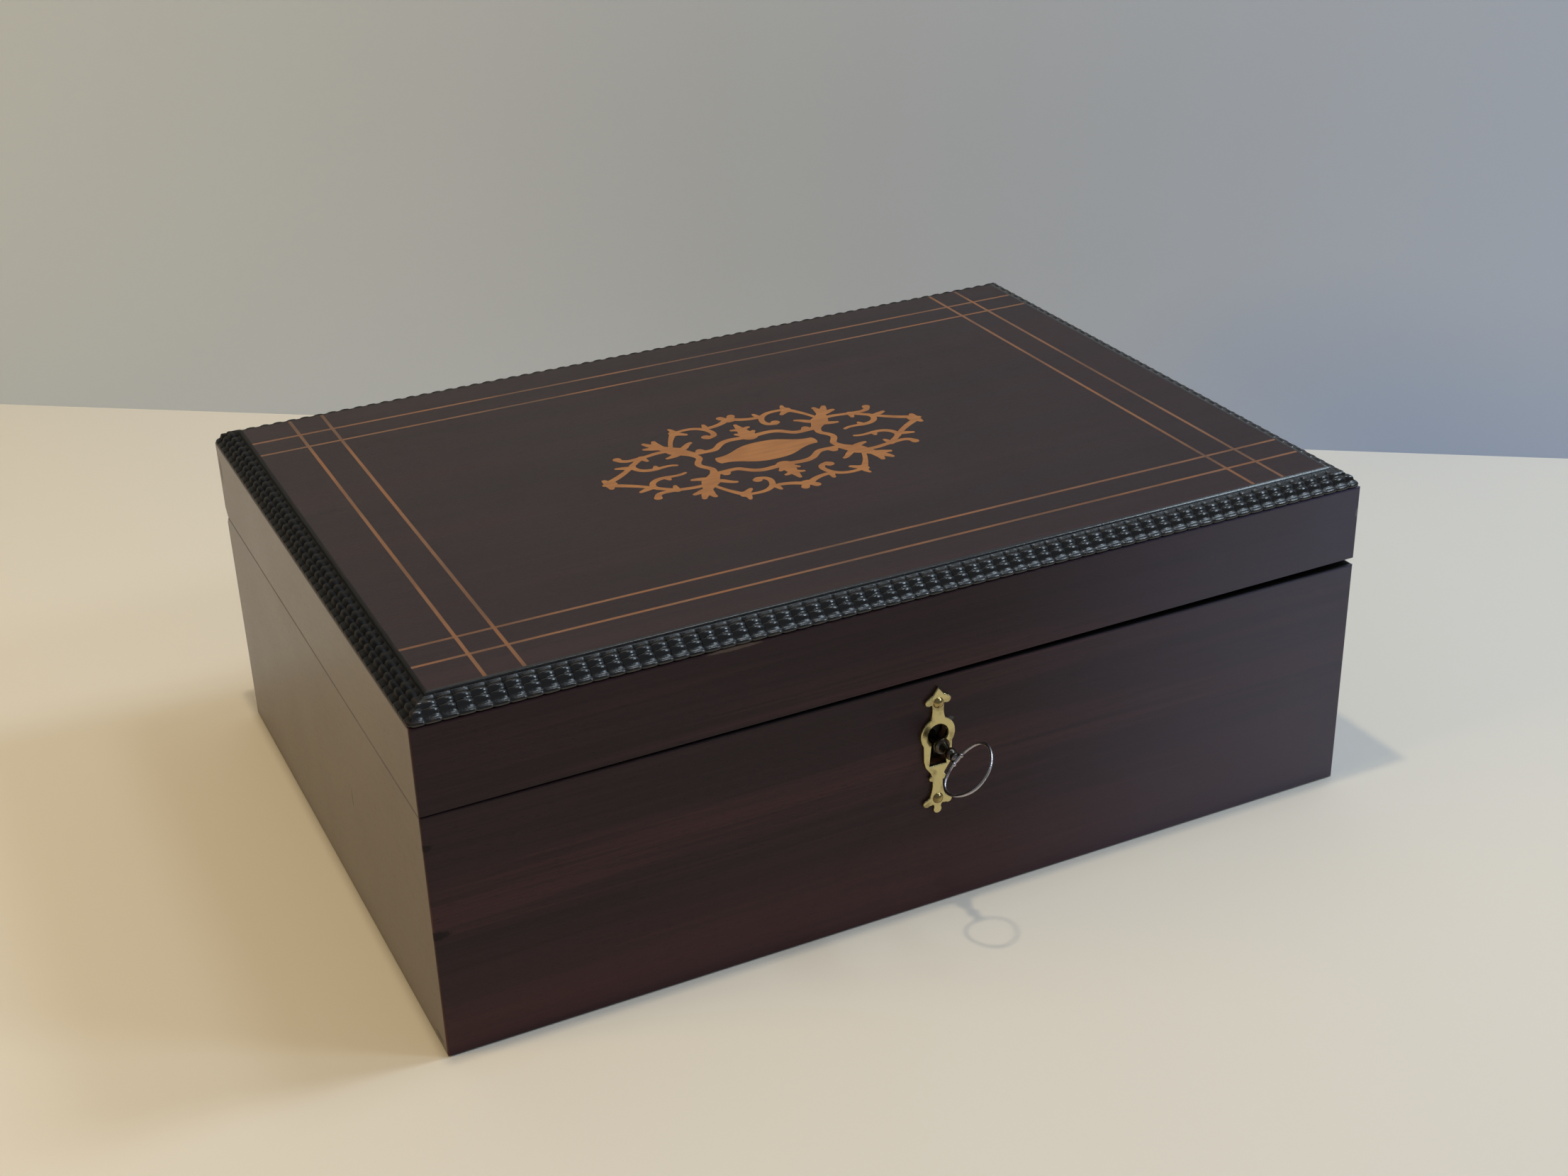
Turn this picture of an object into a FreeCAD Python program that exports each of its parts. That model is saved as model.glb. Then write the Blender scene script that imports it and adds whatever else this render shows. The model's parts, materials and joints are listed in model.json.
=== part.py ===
import FreeCAD, Part
import math
import os

# Veneered wooden box: hinged lid with stringing and scroll marquetry let into its top, a ripple
# moulding round the top edge, a box lock with its key, and two butt hinges.
# Millimetres. The origin is the middle of the underside, +X runs to the right along the front,
# -Y points to the front and +Z up.

V = FreeCAD.Vector
UP = V(0, 0, 1)
DOWN = V(0, 0, -1)
RIGHT = V(1, 0, 0)
FRONT = V(0, -1, 0)

# Overall sizes
WIDTH = 280.0
DEPTH = 198.0
BASE_HEIGHT = 71.6
LID_HEIGHT = 29.2
RIM_GAP = 0.3  # between the closed rims
LID_WARP = 1.9  # further gap at the front right corner, where the lid has warped

# Boards and veneer
WALL = 9.0
VENEER = 0.8
BOTTOM_THICK = 6.0
BOTTOM_REBATE = 4.5  # how far the bottom board reaches into the walls
TOP_THICK = 7.0
TAIL_PITCH = 18.0
TAIL_SHARE = 0.25  # half height of a dovetail at its root, as a share of the pitch
TAIL_SLOPE = 1.0 / 6.0
CORNER_ROUND = 0.6  # rounding of the upright outer edges
PAPER = 0.3
LINING_MARGIN = 2.0  # bare wood between the lining and a rim

# Moulding section: fillet, ovolo, bead
MOULDING_WIDTH = 7.5
MOULDING_HEIGHT = 5.0
FILLET_WIDTH = 1.1
FILLET_STEP = 0.5
BEAD = 1.3
OVOLO_RISE = 1.0
QUIRK = 0.25

# Stringing and marquetry
INLAY_DEPTH = 0.5
INLAY_FIT = 0.06
STRING_WIDTH = 1.0
STRING_FROM_SIDE = 22.0
STRING_FROM_FRONT = 20.0
STRING_SPACING = 10.1
MEDALLION_SHIFT = -2.0  # the medallion sits a little in front of the middle
RIBBON_STEPS = 6

# Butt hinges
HINGE_LENGTH = 32.0
HINGE_FROM_SIDE = 55.0
AXIS_INSET = 2.6  # hinge axis in front of the back face
KNUCKLES = 5
KNUCKLE_RADIUS = 1.75
KNUCKLE_GAP = 0.2
LEAF_SPARE = 0.8  # wood left between a leaf and the inner face
LEAF_THICK = 1.0
PIN_RADIUS = 0.8
PIN_FIT = 0.05
HINGE_FIT = 0.3
OPEN_ANGLE = 100.0  # where the bevelled back edges come together

# Countersunk screws
SCREW_HEAD = 1.5
SCREW_HEAD_HEIGHT = 0.8
SCREW_SHANK = 0.7
SCREW_LENGTH = 6.5
SCREW_FIT = 0.05
SCREW_SLOT = 0.4

# Escutcheon, measured from the middle of its round hole
ESCUTCHEON_THICK = 1.0
ESCUTCHEON_RISE = 2.6  # middle of the round hole above the key's axis
RING_RADIUS = 5.25
HOLE_RADIUS = 3.0
SLOT_TOP_HALF = 1.95
SLOT_BOTTOM_HALF = 2.6
SLOT_ROOM = 0.7  # slot below the turned-down bit
KEYHOLE_FIT = 0.3
UPPER_PIN_UP = 9.7
LOWER_PIN_DROP = 10.4  # below the end of the slot
DOME_RADIUS = 1.6
DOME_HEIGHT = 1.1
NAIL_RADIUS = 0.6
NAIL_SPARE = 0.4  # wood left between a nail's end and the lock

# Box lock
KEY_X = 2.0
KEY_DROP = 19.4  # key's axis below the base rim
LOCK_WIDTH = 48.0
LOCK_HEIGHT = 28.6
LOCK_DEPTH = 7.0
PLATE_THICK = 1.2
SELVEDGE_THICK = 1.5
SELVEDGE_LIP = 0.5  # selvedge in front of the mortise
LOCK_FIT = 0.3
CAP_THICK = 0.8
BOLT_THICK = 2.0
BOLT_BACK = 4.0  # bolt's mid plane in front of the inner face
BAR_HEIGHT = 3.2
SPRING_ROOM = 1.8
NOSE_REACH = 10.5  # bolt's nose to the left of the key's axis, drawn back
TALON_LOW = 3.3  # lower end of the bolt's talon above the key's axis
TALON_JAW = 2.6
STUD_RADIUS = 0.7
STUD_FIT = 0.1
STUD_LEFT = 4.0
LEAF_SPRING = 0.4
SPRING_REACH = 14.0
SPRING_FOOT = 4.0  # length that lies under the selvedge
SPRING_TOUCH = 2.0  # where the spring meets the bolt's bar, to the right of the key's axis
SPRING_TIP = 3.0  # spring's free end, to the left of the key's axis
LOOP_THICK = 2.5
LOOP_WIDTH = 4.8
LOOP_RIM = 1.2
LOOP_SWING = 0.6  # room in front of the loop, which swings on the lid
TENON_WIDTH = 3.0
NOSE_GAP = 0.6
STRIKE_LENGTH = 20.0
STRIKE_WIDTH = 6.6
STRIKE_THICK = 1.2

# Key
KEY_SWING = 94.0  # turn of the key that throws the bolt
SHANK_RADIUS = 1.6
POST_RADIUS = 0.8
POST_FIT = 0.1
KEY_TIP_GAP = 0.4
BIT_RADIUS = 6.3
BIT_THICK = 1.8
BIT_LENGTH = 1.6
TALON_FIT = 0.4
COLLAR_RADIUS = 2.3
COLLAR_REACH = 1.5  # collar in front of the escutcheon
COLLAR_LENGTH = 1.0
COLLAR_RISE = 0.5
COLLAR_FALL = 0.6
BALL_RADIUS = 1.9
BALL_REACH = 6.4
NECK_RADIUS = 1.1
SMALL_COLLAR_RADIUS = 1.5
SMALL_COLLAR_LENGTH = 0.9
SMALL_COLLAR_RISE = 0.4
SMALL_COLLAR_FALL = 0.3
BOW_WIRE = 0.65
BOW_NEAR = 9.8  # near side of the bow in front of the escutcheon
BOW_NEAR_HALF = 5.6
BOW_FAR_HALF = 7.2
BOW_HALF_WIDTH = 8.1
BOW_END_RADIUS = 4.8

# Levels and faces that follow from the sizes
half_w = WIDTH / 2
half_d = DEPTH / 2
core_w = half_w - VENEER
core_d = half_d - VENEER
inner_w = core_w - WALL
inner_d = core_d - WALL
base_rim = BASE_HEIGHT
lid_rim = BASE_HEIGHT + RIM_GAP
top = lid_rim + LID_HEIGHT
board_top = top - VENEER
board_under = board_top - TOP_THICK
moulding_under = top - MOULDING_HEIGHT
field_w = half_w - MOULDING_WIDTH
field_d = half_d - MOULDING_WIDTH

axis_y = half_d - AXIS_INSET
axis_z = base_rim + RIM_GAP / 2
hinge_x = half_w - HINGE_FROM_SIDE
leaf_width = axis_y - inner_d - LEAF_SPARE
bevel = math.radians(OPEN_ANGLE / 2)

key_z = base_rim - KEY_DROP
hole_z = key_z + ESCUTCHEON_RISE
plate_back = -inner_d
plate_face = plate_back - PLATE_THICK
mortise_end = plate_back - LOCK_DEPTH
bolt_y = plate_back - BOLT_BACK
bolt_front = bolt_y - BOLT_THICK / 2
bolt_back = bolt_y + BOLT_THICK / 2
selvedge_under = base_rim - SELVEDGE_THICK
bar_top = selvedge_under - SPRING_ROOM
bar_under = bar_top - BAR_HEIGHT
escutcheon_face = -half_d - ESCUTCHEON_THICK
slot_end = -ESCUTCHEON_RISE - BIT_RADIUS - SLOT_ROOM
nail_length = mortise_end - escutcheon_face - NAIL_SPARE

# The bit leans by half the swing at each end of its turn, and the talon holds it there
lean = math.radians(KEY_SWING / 2)
bit_far = BIT_RADIUS * math.sin(lean) + BIT_THICK / 2 * math.cos(lean)
bit_near = TALON_LOW * math.tan(lean) - BIT_THICK / 2 / math.cos(lean)
talon_reach = (bit_far + bit_near) / 2
talon_half = (bit_far - bit_near) / 2 + TALON_FIT
throw = 2 * talon_reach
talon_x = KEY_X + talon_reach
tail_half = talon_half + TALON_JAW
nose_x = KEY_X - NOSE_REACH
loop_x = nose_x - NOSE_GAP - LOOP_THICK / 2
cap_half = talon_reach + tail_half + LOCK_FIT + CAP_THICK
cap_under = key_z - BIT_RADIUS - LOCK_FIT - CAP_THICK
cap_face = bolt_front - LOCK_FIT - CAP_THICK
loop_under = bar_under - STUD_FIT - LOCK_FIT - LOOP_RIM
strike_under = lid_rim + LID_WARP * ((loop_x - STRIKE_LENGTH / 2) / WIDTH + 0.5)
MARGIN = 1.0  # how far a cutting tool reaches past the face that it opens

parts = {}


# Solids

def block(x0, x1, y0, y1, z0, z1):
    return Part.makeBox(x1 - x0, y1 - y0, z1 - z0, V(x0, y0, z0))


def prism(points, sweep):
    return Part.Face(Part.makePolygon(points + points[:1])).extrude(sweep)


def rod(start, direction, radius, length):
    return Part.makeCylinder(radius, length, start, direction)


def placed(shape, origin, axis):
    """Moves a solid that was built along +Z to an origin and an axis."""
    shape.Placement = FreeCAD.Placement(origin, FreeCAD.Rotation(UP, axis))
    return shape


def spun(profile):
    """A solid of revolution about +Z from pairs of radius and height."""
    points = [V(radius, 0, height) for radius, height in profile]
    face = Part.Face(Part.makePolygon(points + points[:1]))
    return face.revolve(V(0, 0, 0), UP, 360)


def joined(shapes):
    return shapes[0].multiFuse(shapes[1:]).removeSplitter()


def without(shape, tools):
    return shape.cut(tools)


def rounded_uprights(shape, y):
    """Rounds the two outer upright edges of a veneer whose outer face is at y."""
    edges = []
    for edge in shape.Edges:
        ends = [vertex.Point for vertex in edge.Vertexes]
        if len(ends) == 2 and abs(abs(ends[0].x) - half_w) < 0.01 and abs(ends[0].y - y) < 0.01:
            if abs(ends[0].x - ends[1].x) < 0.01 and abs(ends[0].y - ends[1].y) < 0.01:
                edges.append(edge)
    return shape.makeFillet(CORNER_ROUND, edges)


# Screws

def screw(head, axis):
    profile = [
        (0, 0),
        (SCREW_HEAD, 0),
        (SCREW_SHANK, SCREW_HEAD_HEIGHT),
        (SCREW_SHANK, SCREW_LENGTH - SCREW_SHANK),
        (0, SCREW_LENGTH),
    ]
    slot = block(-SCREW_HEAD, SCREW_HEAD, -SCREW_SLOT / 2, SCREW_SLOT / 2, -MARGIN, SCREW_SLOT)
    return placed(spun(profile).cut(slot), head, axis)


def screw_hole(head, axis):
    profile = [
        (0, -MARGIN),
        (SCREW_HEAD + SCREW_FIT, -MARGIN),
        (SCREW_HEAD + SCREW_FIT, 0),
        (SCREW_SHANK + SCREW_FIT, SCREW_HEAD_HEIGHT),
        (SCREW_SHANK + SCREW_FIT, SCREW_LENGTH + SCREW_FIT),
        (0, SCREW_LENGTH + SCREW_FIT),
    ]
    return placed(spun(profile), head, axis)


# Carcase boards, dovetailed at the corners

def tails(z0, z1, side, end):
    """Dovetails of the side board at x sign `side`, reaching into the board at y sign `end`."""
    count = max(1, round((z1 - z0) / TAIL_PITCH))
    pitch = (z1 - z0) / count
    root = pitch * TAIL_SHARE
    tip = root + WALL * TAIL_SLOPE
    x0 = min(side * core_w, side * inner_w)
    shapes = []
    for index in range(count):
        middle = z0 + (index + 0.5) * pitch
        points = [
            V(x0, end * inner_d, middle - root),
            V(x0, end * core_d, middle - tip),
            V(x0, end * core_d, middle + tip),
            V(x0, end * inner_d, middle + root),
        ]
        shapes.append(prism(points, V(WALL, 0, 0)))
    return shapes


def frame_boards(z0, z1):
    """Front, back, left and right boards of a dovetailed frame."""
    front = block(-core_w, core_w, -core_d, -inner_d, z0, z1)
    back = block(-core_w, core_w, inner_d, core_d, z0, z1)
    boards = [
        without(front, tails(z0, z1, -1, -1) + tails(z0, z1, 1, -1)),
        without(back, tails(z0, z1, -1, 1) + tails(z0, z1, 1, 1)),
    ]
    for side in (-1, 1):
        x0 = min(side * core_w, side * inner_w)
        board = block(x0, x0 + WALL, -inner_d, inner_d, z0, z1)
        boards.append(joined([board] + tails(z0, z1, side, -1) + tails(z0, z1, side, 1)))
    return boards


def rim_bevel(z, direction):
    """Wedge that bevels a back rim at height z, down for the base and up for the lid."""
    reach = AXIS_INSET + MARGIN
    points = [
        V(-half_w - MARGIN, axis_y, z),
        V(-half_w - MARGIN, axis_y + reach, z),
        V(-half_w - MARGIN, axis_y + reach, z + direction * reach * math.tan(bevel)),
    ]
    return prism(points, V(WIDTH + 2 * MARGIN, 0, 0))


def warp_front():
    """Wedge under the warped rim of the lid's front."""
    x = half_w + MARGIN
    low = lid_rim - MARGIN
    rise = LID_WARP / WIDTH
    points = [
        V(-x, -half_d - MARGIN, low),
        V(x, -half_d - MARGIN, low),
        V(x, -half_d - MARGIN, lid_rim + rise * (x + half_w)),
        V(-x, -half_d - MARGIN, lid_rim + rise * (half_w - x)),
    ]
    return prism(points, V(0, WALL + VENEER + 2 * MARGIN, 0))


def warp_right():
    """Wedge under the warped rim of the lid's right side."""
    y = half_d + MARGIN
    low = lid_rim - MARGIN
    rise = LID_WARP / DEPTH
    points = [
        V(inner_w - MARGIN, -y, low),
        V(inner_w - MARGIN, y, low),
        V(inner_w - MARGIN, y, lid_rim + rise * (half_d - y)),
        V(inner_w - MARGIN, -y, lid_rim + rise * (half_d + y)),
    ]
    return prism(points, V(WALL + VENEER + 2 * MARGIN, 0, 0))


# Butt hinges

def knuckle_span(middle, index):
    pitch = HINGE_LENGTH / KNUCKLES
    start = middle - HINGE_LENGTH / 2 + index * pitch
    return start, start + pitch


def axis_rod(x0, x1, radius):
    return rod(V(x0, axis_y, axis_z), RIGHT, radius, x1 - x0)


def leaf_plate(middle, upper):
    z0 = lid_rim if upper else base_rim - LEAF_THICK
    x0 = middle - HINGE_LENGTH / 2
    return block(x0, x0 + HINGE_LENGTH, axis_y - leaf_width, axis_y, z0, z0 + LEAF_THICK)


def leaf_screws(middle, upper):
    """Head centres of the screws of one leaf."""
    z = lid_rim if upper else base_rim
    y = axis_y - (KNUCKLE_RADIUS + HINGE_FIT + leaf_width) / 2
    return [V(middle + side * HINGE_LENGTH / 4, y, z) for side in (-1, 1)]


def hinge_leaf(middle, upper):
    own = 1 if upper else 0
    solids = [leaf_plate(middle, upper)]
    tools = [axis_rod(middle - HINGE_LENGTH, middle + HINGE_LENGTH, PIN_RADIUS + PIN_FIT)]
    for index in range(KNUCKLES):
        x0, x1 = knuckle_span(middle, index)
        if index % 2 == own:
            solids.append(axis_rod(x0 + KNUCKLE_GAP / 2, x1 - KNUCKLE_GAP / 2, KNUCKLE_RADIUS))
        else:
            tools.append(axis_rod(x0 - KNUCKLE_GAP / 2, x1 + KNUCKLE_GAP / 2, KNUCKLE_RADIUS + HINGE_FIT))
    trimmed = without(solids[0], tools[1:])
    leaf = joined([trimmed] + solids[1:])
    direction = UP if upper else DOWN
    holes = [screw_hole(head, direction) for head in leaf_screws(middle, upper)]
    return without(leaf, tools[:1] + holes)


def hinge_recess(middle, upper):
    """What a leaf, the knuckles and the screws take out of a back board."""
    end = HINGE_LENGTH / 2 + HINGE_FIT
    direction = UP if upper else DOWN
    tools = [leaf_plate(middle, upper)]
    tools.append(axis_rod(middle - end, middle + end, KNUCKLE_RADIUS + HINGE_FIT))
    return tools + [screw_hole(head, direction) for head in leaf_screws(middle, upper)]


# Escutcheon and keyhole, drawn in the XZ plane about the middle of the round hole

def front_face(points):
    """A face in the XZ plane from x, z pairs about the keyhole."""
    corners = [V(KEY_X + x, 0, hole_z + z) for x, z in points]
    return Part.Face(Part.makePolygon(corners + corners[:1]))


def front_disc(x, z, radius):
    return Part.Face(Part.Wire(Part.makeCircle(radius, V(KEY_X + x, 0, hole_z + z), FRONT)))


def mirrored(points):
    """A closed outline from its right half, given from top to bottom."""
    return points + [(-x, z) for x, z in reversed(points) if x > 0]


def waisted(z0, half0, z1, half1, waist):
    """A face between two levels whose sides curve in to a waist."""
    edges = []
    middle = (z0 + z1) / 2
    for side in (1, -1):
        ends = [V(KEY_X + side * half0, 0, hole_z + z0), V(KEY_X + side * half1, 0, hole_z + z1)]
        edges.append(Part.Arc(ends[0], V(KEY_X + side * waist, 0, hole_z + middle), ends[1]).toShape())
    edges.append(Part.makeLine(V(KEY_X - half0, 0, hole_z + z0), V(KEY_X + half0, 0, hole_z + z0)))
    edges.append(Part.makeLine(V(KEY_X - half1, 0, hole_z + z1), V(KEY_X + half1, 0, hole_z + z1)))
    return Part.Face(Part.Wire(Part.__sortEdges__(edges)))


def escutcheon_outline():
    """Overlapping faces that make up the plate."""
    tip = mirrored([(0, 14.4), (0.7, 13.4), (2.1, 11.6), (2.4, 10.0), (0, 9.0)])
    slot_plate = mirrored([
        (0, -1.0),
        (4.4, -2.8),
        (4.3, slot_end + 2.0),
        (3.8, slot_end),
        (2.2, slot_end - 2.4),
        (0, slot_end - 2.8),
    ])
    faces = [
        front_face(tip),
        waisted(11.2, 2.4, 4.0, 2.4, 1.75),
        front_disc(0, 0, RING_RADIUS),
        front_face(slot_plate),
        waisted(slot_end - 1.8, 2.4, slot_end - 11.0, 3.0, 1.6),
        front_disc(0, slot_end - 10.6, 2.3),
        waisted(slot_end - 11.0, 2.2, slot_end - 14.4, 1.2, 1.15),
        front_disc(0, slot_end - 14.0, 1.25),
    ]
    for side in (-1, 1):
        faces.append(front_disc(side * 2.75, 10.2, 1.15))
        faces.append(front_disc(side * 1.7, 10.6, 1.4))
        faces.append(front_disc(side * 1.75, slot_end - 4.0, 0.9))
        faces.append(front_disc(side * 2.2, slot_end - 11.2, 1.3))
        faces.append(front_disc(side * 3.3, slot_end - 11.6, 1.15))
    return faces


def keyhole_faces(grow):
    slot = [
        (-SLOT_TOP_HALF - grow, 0),
        (SLOT_TOP_HALF + grow, 0),
        (SLOT_TOP_HALF + grow, -HOLE_RADIUS),
        (SLOT_BOTTOM_HALF + grow, slot_end - grow),
        (-SLOT_BOTTOM_HALF - grow, slot_end - grow),
        (-SLOT_TOP_HALF - grow, -HOLE_RADIUS),
    ]
    return [front_face(slot), front_disc(0, 0, HOLE_RADIUS + grow)]


def swept_back(faces, y0, y1):
    """One solid from overlapping XZ faces, between two planes."""
    solids = []
    for face in faces:
        face.translate(V(0, y0, 0))
        solids.append(face.extrude(V(0, y1 - y0, 0)))
    return joined(solids)


def keyhole(y0, y1, grow):
    return swept_back(keyhole_faces(grow), y0, y1)


def nail_places():
    return [V(KEY_X, -half_d, hole_z + UPPER_PIN_UP), V(KEY_X, -half_d, hole_z + slot_end - LOWER_PIN_DROP)]


def nail_hole(place):
    start = place + FRONT * (ESCUTCHEON_THICK + MARGIN)
    return rod(start, -FRONT, NAIL_RADIUS + SCREW_FIT, MARGIN + nail_length + SCREW_FIT)


def make_escutcheon():
    plate = swept_back(escutcheon_outline(), escutcheon_face, -half_d)
    opening = keyhole(escutcheon_face - MARGIN, -half_d + MARGIN, 0)
    parts["escutcheon"] = without(plate, [opening] + [nail_hole(place) for place in nail_places()])
    radius = (DOME_RADIUS ** 2 + DOME_HEIGHT ** 2) / (2 * DOME_HEIGHT)
    nails = []
    for place in nail_places():
        seat = place + FRONT * ESCUTCHEON_THICK
        ball = Part.makeSphere(radius, seat + FRONT * (DOME_HEIGHT - radius))
        dome = ball.common(rod(seat, FRONT, DOME_RADIUS, 2 * DOME_HEIGHT))
        nails.append(joined([dome, rod(seat, -FRONT, NAIL_RADIUS, nail_length)]))
    parts["escutcheon_pins"] = Part.makeCompound(nails)


# Box lock

def lock_screws():
    """Head places and directions: two through the plate, two through the selvedge."""
    reach = LOCK_WIDTH / 2 - 2 * SCREW_HEAD
    low = base_rim - LOCK_HEIGHT + 2 * SCREW_HEAD
    places = []
    for side in (-1, 1):
        places.append((V(KEY_X + side * reach, plate_back, low), FRONT))
        places.append((V(KEY_X + side * reach, bolt_y, base_rim), DOWN))
    return places


def lock_plate_blocks():
    x0 = KEY_X - LOCK_WIDTH / 2
    x1 = KEY_X + LOCK_WIDTH / 2
    upright = block(x0, x1, plate_face, plate_back, base_rim - LOCK_HEIGHT, base_rim)
    selvedge = block(x0, x1, mortise_end - SELVEDGE_LIP, plate_back, selvedge_under, base_rim)
    return [upright, selvedge]


def lock_mortise():
    left = nose_x - throw - 2 * LOCK_FIT
    right = KEY_X + SPRING_REACH + 2 * LOCK_FIT
    upper = block(left, right, mortise_end, plate_back, loop_under - 2 * LOCK_FIT, base_rim)
    side = cap_half + LOCK_FIT
    lower = block(KEY_X - side, KEY_X + side, mortise_end, plate_back, cap_under - LOCK_FIT, base_rim)
    return [upper, lower]


def make_lock():
    half = LOOP_THICK / 2 + LOCK_FIT
    slot = block(
        loop_x - half, loop_x + half, bolt_y - LOOP_WIDTH / 2 - LOOP_SWING, plate_face,
        selvedge_under - MARGIN, base_rim + MARGIN)
    through = PLATE_THICK + 2 * MARGIN
    post_hole = rod(V(KEY_X, plate_back + MARGIN, key_z), FRONT, POST_RADIUS + SCREW_FIT, through)
    stud_x = KEY_X - STUD_LEFT
    stud_z = (bar_under + bar_top) / 2
    stud_hole = rod(V(stud_x, plate_back + MARGIN, stud_z), FRONT, STUD_RADIUS + SCREW_FIT, through)
    holes = [screw_hole(head, axis) for head, axis in lock_screws()]
    parts["lock_plate"] = without(joined(lock_plate_blocks()), [slot, post_hole, stud_hole] + holes)
    parts["lock_screws"] = Part.makeCompound([screw(head, axis) for head, axis in lock_screws()])
    parts["key_post"] = rod(V(KEY_X, plate_back, key_z), FRONT, POST_RADIUS, LOCK_DEPTH + PLATE_THICK)
    parts["bolt_stud"] = rod(V(stud_x, plate_back, stud_z), FRONT, STUD_RADIUS, plate_back - bolt_front)

    # Cap: a tray over the key's sweep, open above for the bolt
    wall_top = bar_under - LOCK_FIT
    x0 = KEY_X - cap_half
    x1 = KEY_X + cap_half
    cap = joined([
        block(x0, x1, cap_face, cap_face + CAP_THICK, cap_under, wall_top),
        block(x0, x1, cap_face, plate_face, cap_under, cap_under + CAP_THICK),
        block(x0, x0 + CAP_THICK, cap_face, plate_face, cap_under, wall_top),
        block(x1 - CAP_THICK, x1, cap_face, plate_face, cap_under, wall_top),
    ])
    shank_start = V(KEY_X, cap_face - MARGIN, key_z)
    shank_hole = rod(shank_start, -FRONT, SHANK_RADIUS + LOCK_FIT, CAP_THICK + 2 * MARGIN)
    bit_half = BIT_THICK / 2 + LOCK_FIT
    bit_slot = block(
        KEY_X - bit_half, KEY_X + bit_half, cap_face - MARGIN, cap_face + CAP_THICK + LOCK_FIT / 2,
        key_z - BIT_RADIUS - LOCK_FIT / 2, key_z)
    parts["lock_cap"] = without(cap, [shank_hole, bit_slot])

    # Spring: a bent strip from under the selvedge down to the bolt's bar
    foot = KEY_X + SPRING_REACH
    low = bar_top + LOCK_FIT / 2
    under = [
        (foot, selvedge_under - LEAF_SPRING),
        (foot - SPRING_FOOT, selvedge_under - LEAF_SPRING),
        (KEY_X + SPRING_TOUCH, low),
        (KEY_X - SPRING_TIP, low + LEAF_SPRING),
    ]
    over = [(x, z + LEAF_SPRING) for x, z in reversed(under)]
    strip = [V(x, bolt_front, z) for x, z in under + over]
    parts["lock_spring"] = prism(strip, V(0, BOLT_THICK, 0))

    # Bolt: bar with its nose, tail with the talon that the key's bit works in
    bar = block(nose_x, talon_x + tail_half, bolt_front, bolt_back, bar_under, bar_top)
    tail = block(
        talon_x - tail_half, talon_x + tail_half, bolt_front, bolt_back, key_z + TALON_LOW, bar_under)
    talon = block(
        talon_x - talon_half, talon_x + talon_half, bolt_front - MARGIN, bolt_back + MARGIN,
        key_z + TALON_LOW - MARGIN, key_z + BIT_RADIUS + TALON_FIT)
    gap = STUD_RADIUS + STUD_FIT
    guide = block(
        stud_x - gap, stud_x + throw + gap, bolt_front - MARGIN, bolt_back + MARGIN,
        stud_z - gap, stud_z + gap)
    parts["lock_bolt"] = without(joined([bar, tail]), [talon, guide])


def strike_screws():
    reach = STRIKE_LENGTH / 2 - 2 * SCREW_HEAD
    return [V(loop_x + side * reach, bolt_y, strike_under) for side in (-1, 1)]


def strike_block(under):
    half = STRIKE_LENGTH / 2
    return block(
        loop_x - half, loop_x + half, bolt_y - STRIKE_WIDTH / 2, bolt_y + STRIKE_WIDTH / 2,
        under, strike_under + STRIKE_THICK)


def make_strike():
    tenon = block(
        loop_x - LOOP_THICK / 2, loop_x + LOOP_THICK / 2, bolt_y - TENON_WIDTH / 2, bolt_y + TENON_WIDTH / 2,
        strike_under, strike_under + STRIKE_THICK)
    holes = [screw_hole(head, UP) for head in strike_screws()]
    parts["strike_plate"] = without(strike_block(strike_under), [tenon] + holes)
    parts["strike_screws"] = Part.makeCompound([screw(head, UP) for head in strike_screws()])
    body = block(
        loop_x - LOOP_THICK / 2, loop_x + LOOP_THICK / 2, bolt_y - LOOP_WIDTH / 2, bolt_y + LOOP_WIDTH / 2,
        loop_under, strike_under)
    window = block(
        loop_x - LOOP_THICK, loop_x + LOOP_THICK, bolt_front - LOCK_FIT, bolt_back + LOCK_FIT,
        loop_under + LOOP_RIM, bar_top + LOCK_FIT + STUD_FIT)
    parts["lock_loop"] = without(joined([body, tenon]), [window])


# Key, built along the front direction from the tip of its barrel

def bow_arc(centre, radius, start, sweep, flat):
    """A length of the bow's wire: a round section turned about an upright axis of the bow."""
    direction = V(math.cos(start), math.sin(start), 0)
    along = V(-math.sin(start), math.cos(start), 0)
    section = Part.Face(Part.Wire(Part.makeCircle(BOW_WIRE, centre + direction * radius, along)))
    return section.revolve(centre, flat, math.degrees(sweep))


def side_arc(half):
    """Radius of the bow's long side, and the angle at which it meets the end arcs."""
    reach = BOW_HALF_WIDTH - BOW_END_RADIUS
    radius = (reach ** 2 + half ** 2 - BOW_END_RADIUS ** 2) / (2 * (half - BOW_END_RADIUS))
    return radius, math.atan2(reach, radius - half)


def key_bow():
    """Bow in the XY plane: +Y away from the lock, its middle at the origin."""
    near_radius, near_turn = side_arc(BOW_NEAR_HALF)
    far_radius, far_turn = side_arc(BOW_FAR_HALF)
    reach = BOW_HALF_WIDTH - BOW_END_RADIUS
    quarter = math.pi / 2
    near_middle = V(0, near_radius - BOW_NEAR_HALF, 0)
    far_middle = V(0, BOW_FAR_HALF - far_radius, 0)
    end_sweep = math.pi - near_turn - far_turn
    return [
        bow_arc(near_middle, near_radius, -quarter - near_turn, 2 * near_turn, UP),
        bow_arc(V(reach, 0, 0), BOW_END_RADIUS, -quarter + near_turn, end_sweep, UP),
        bow_arc(far_middle, far_radius, quarter - far_turn, 2 * far_turn, UP),
        bow_arc(V(-reach, 0, 0), BOW_END_RADIUS, quarter + far_turn, end_sweep, UP),
    ]


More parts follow.
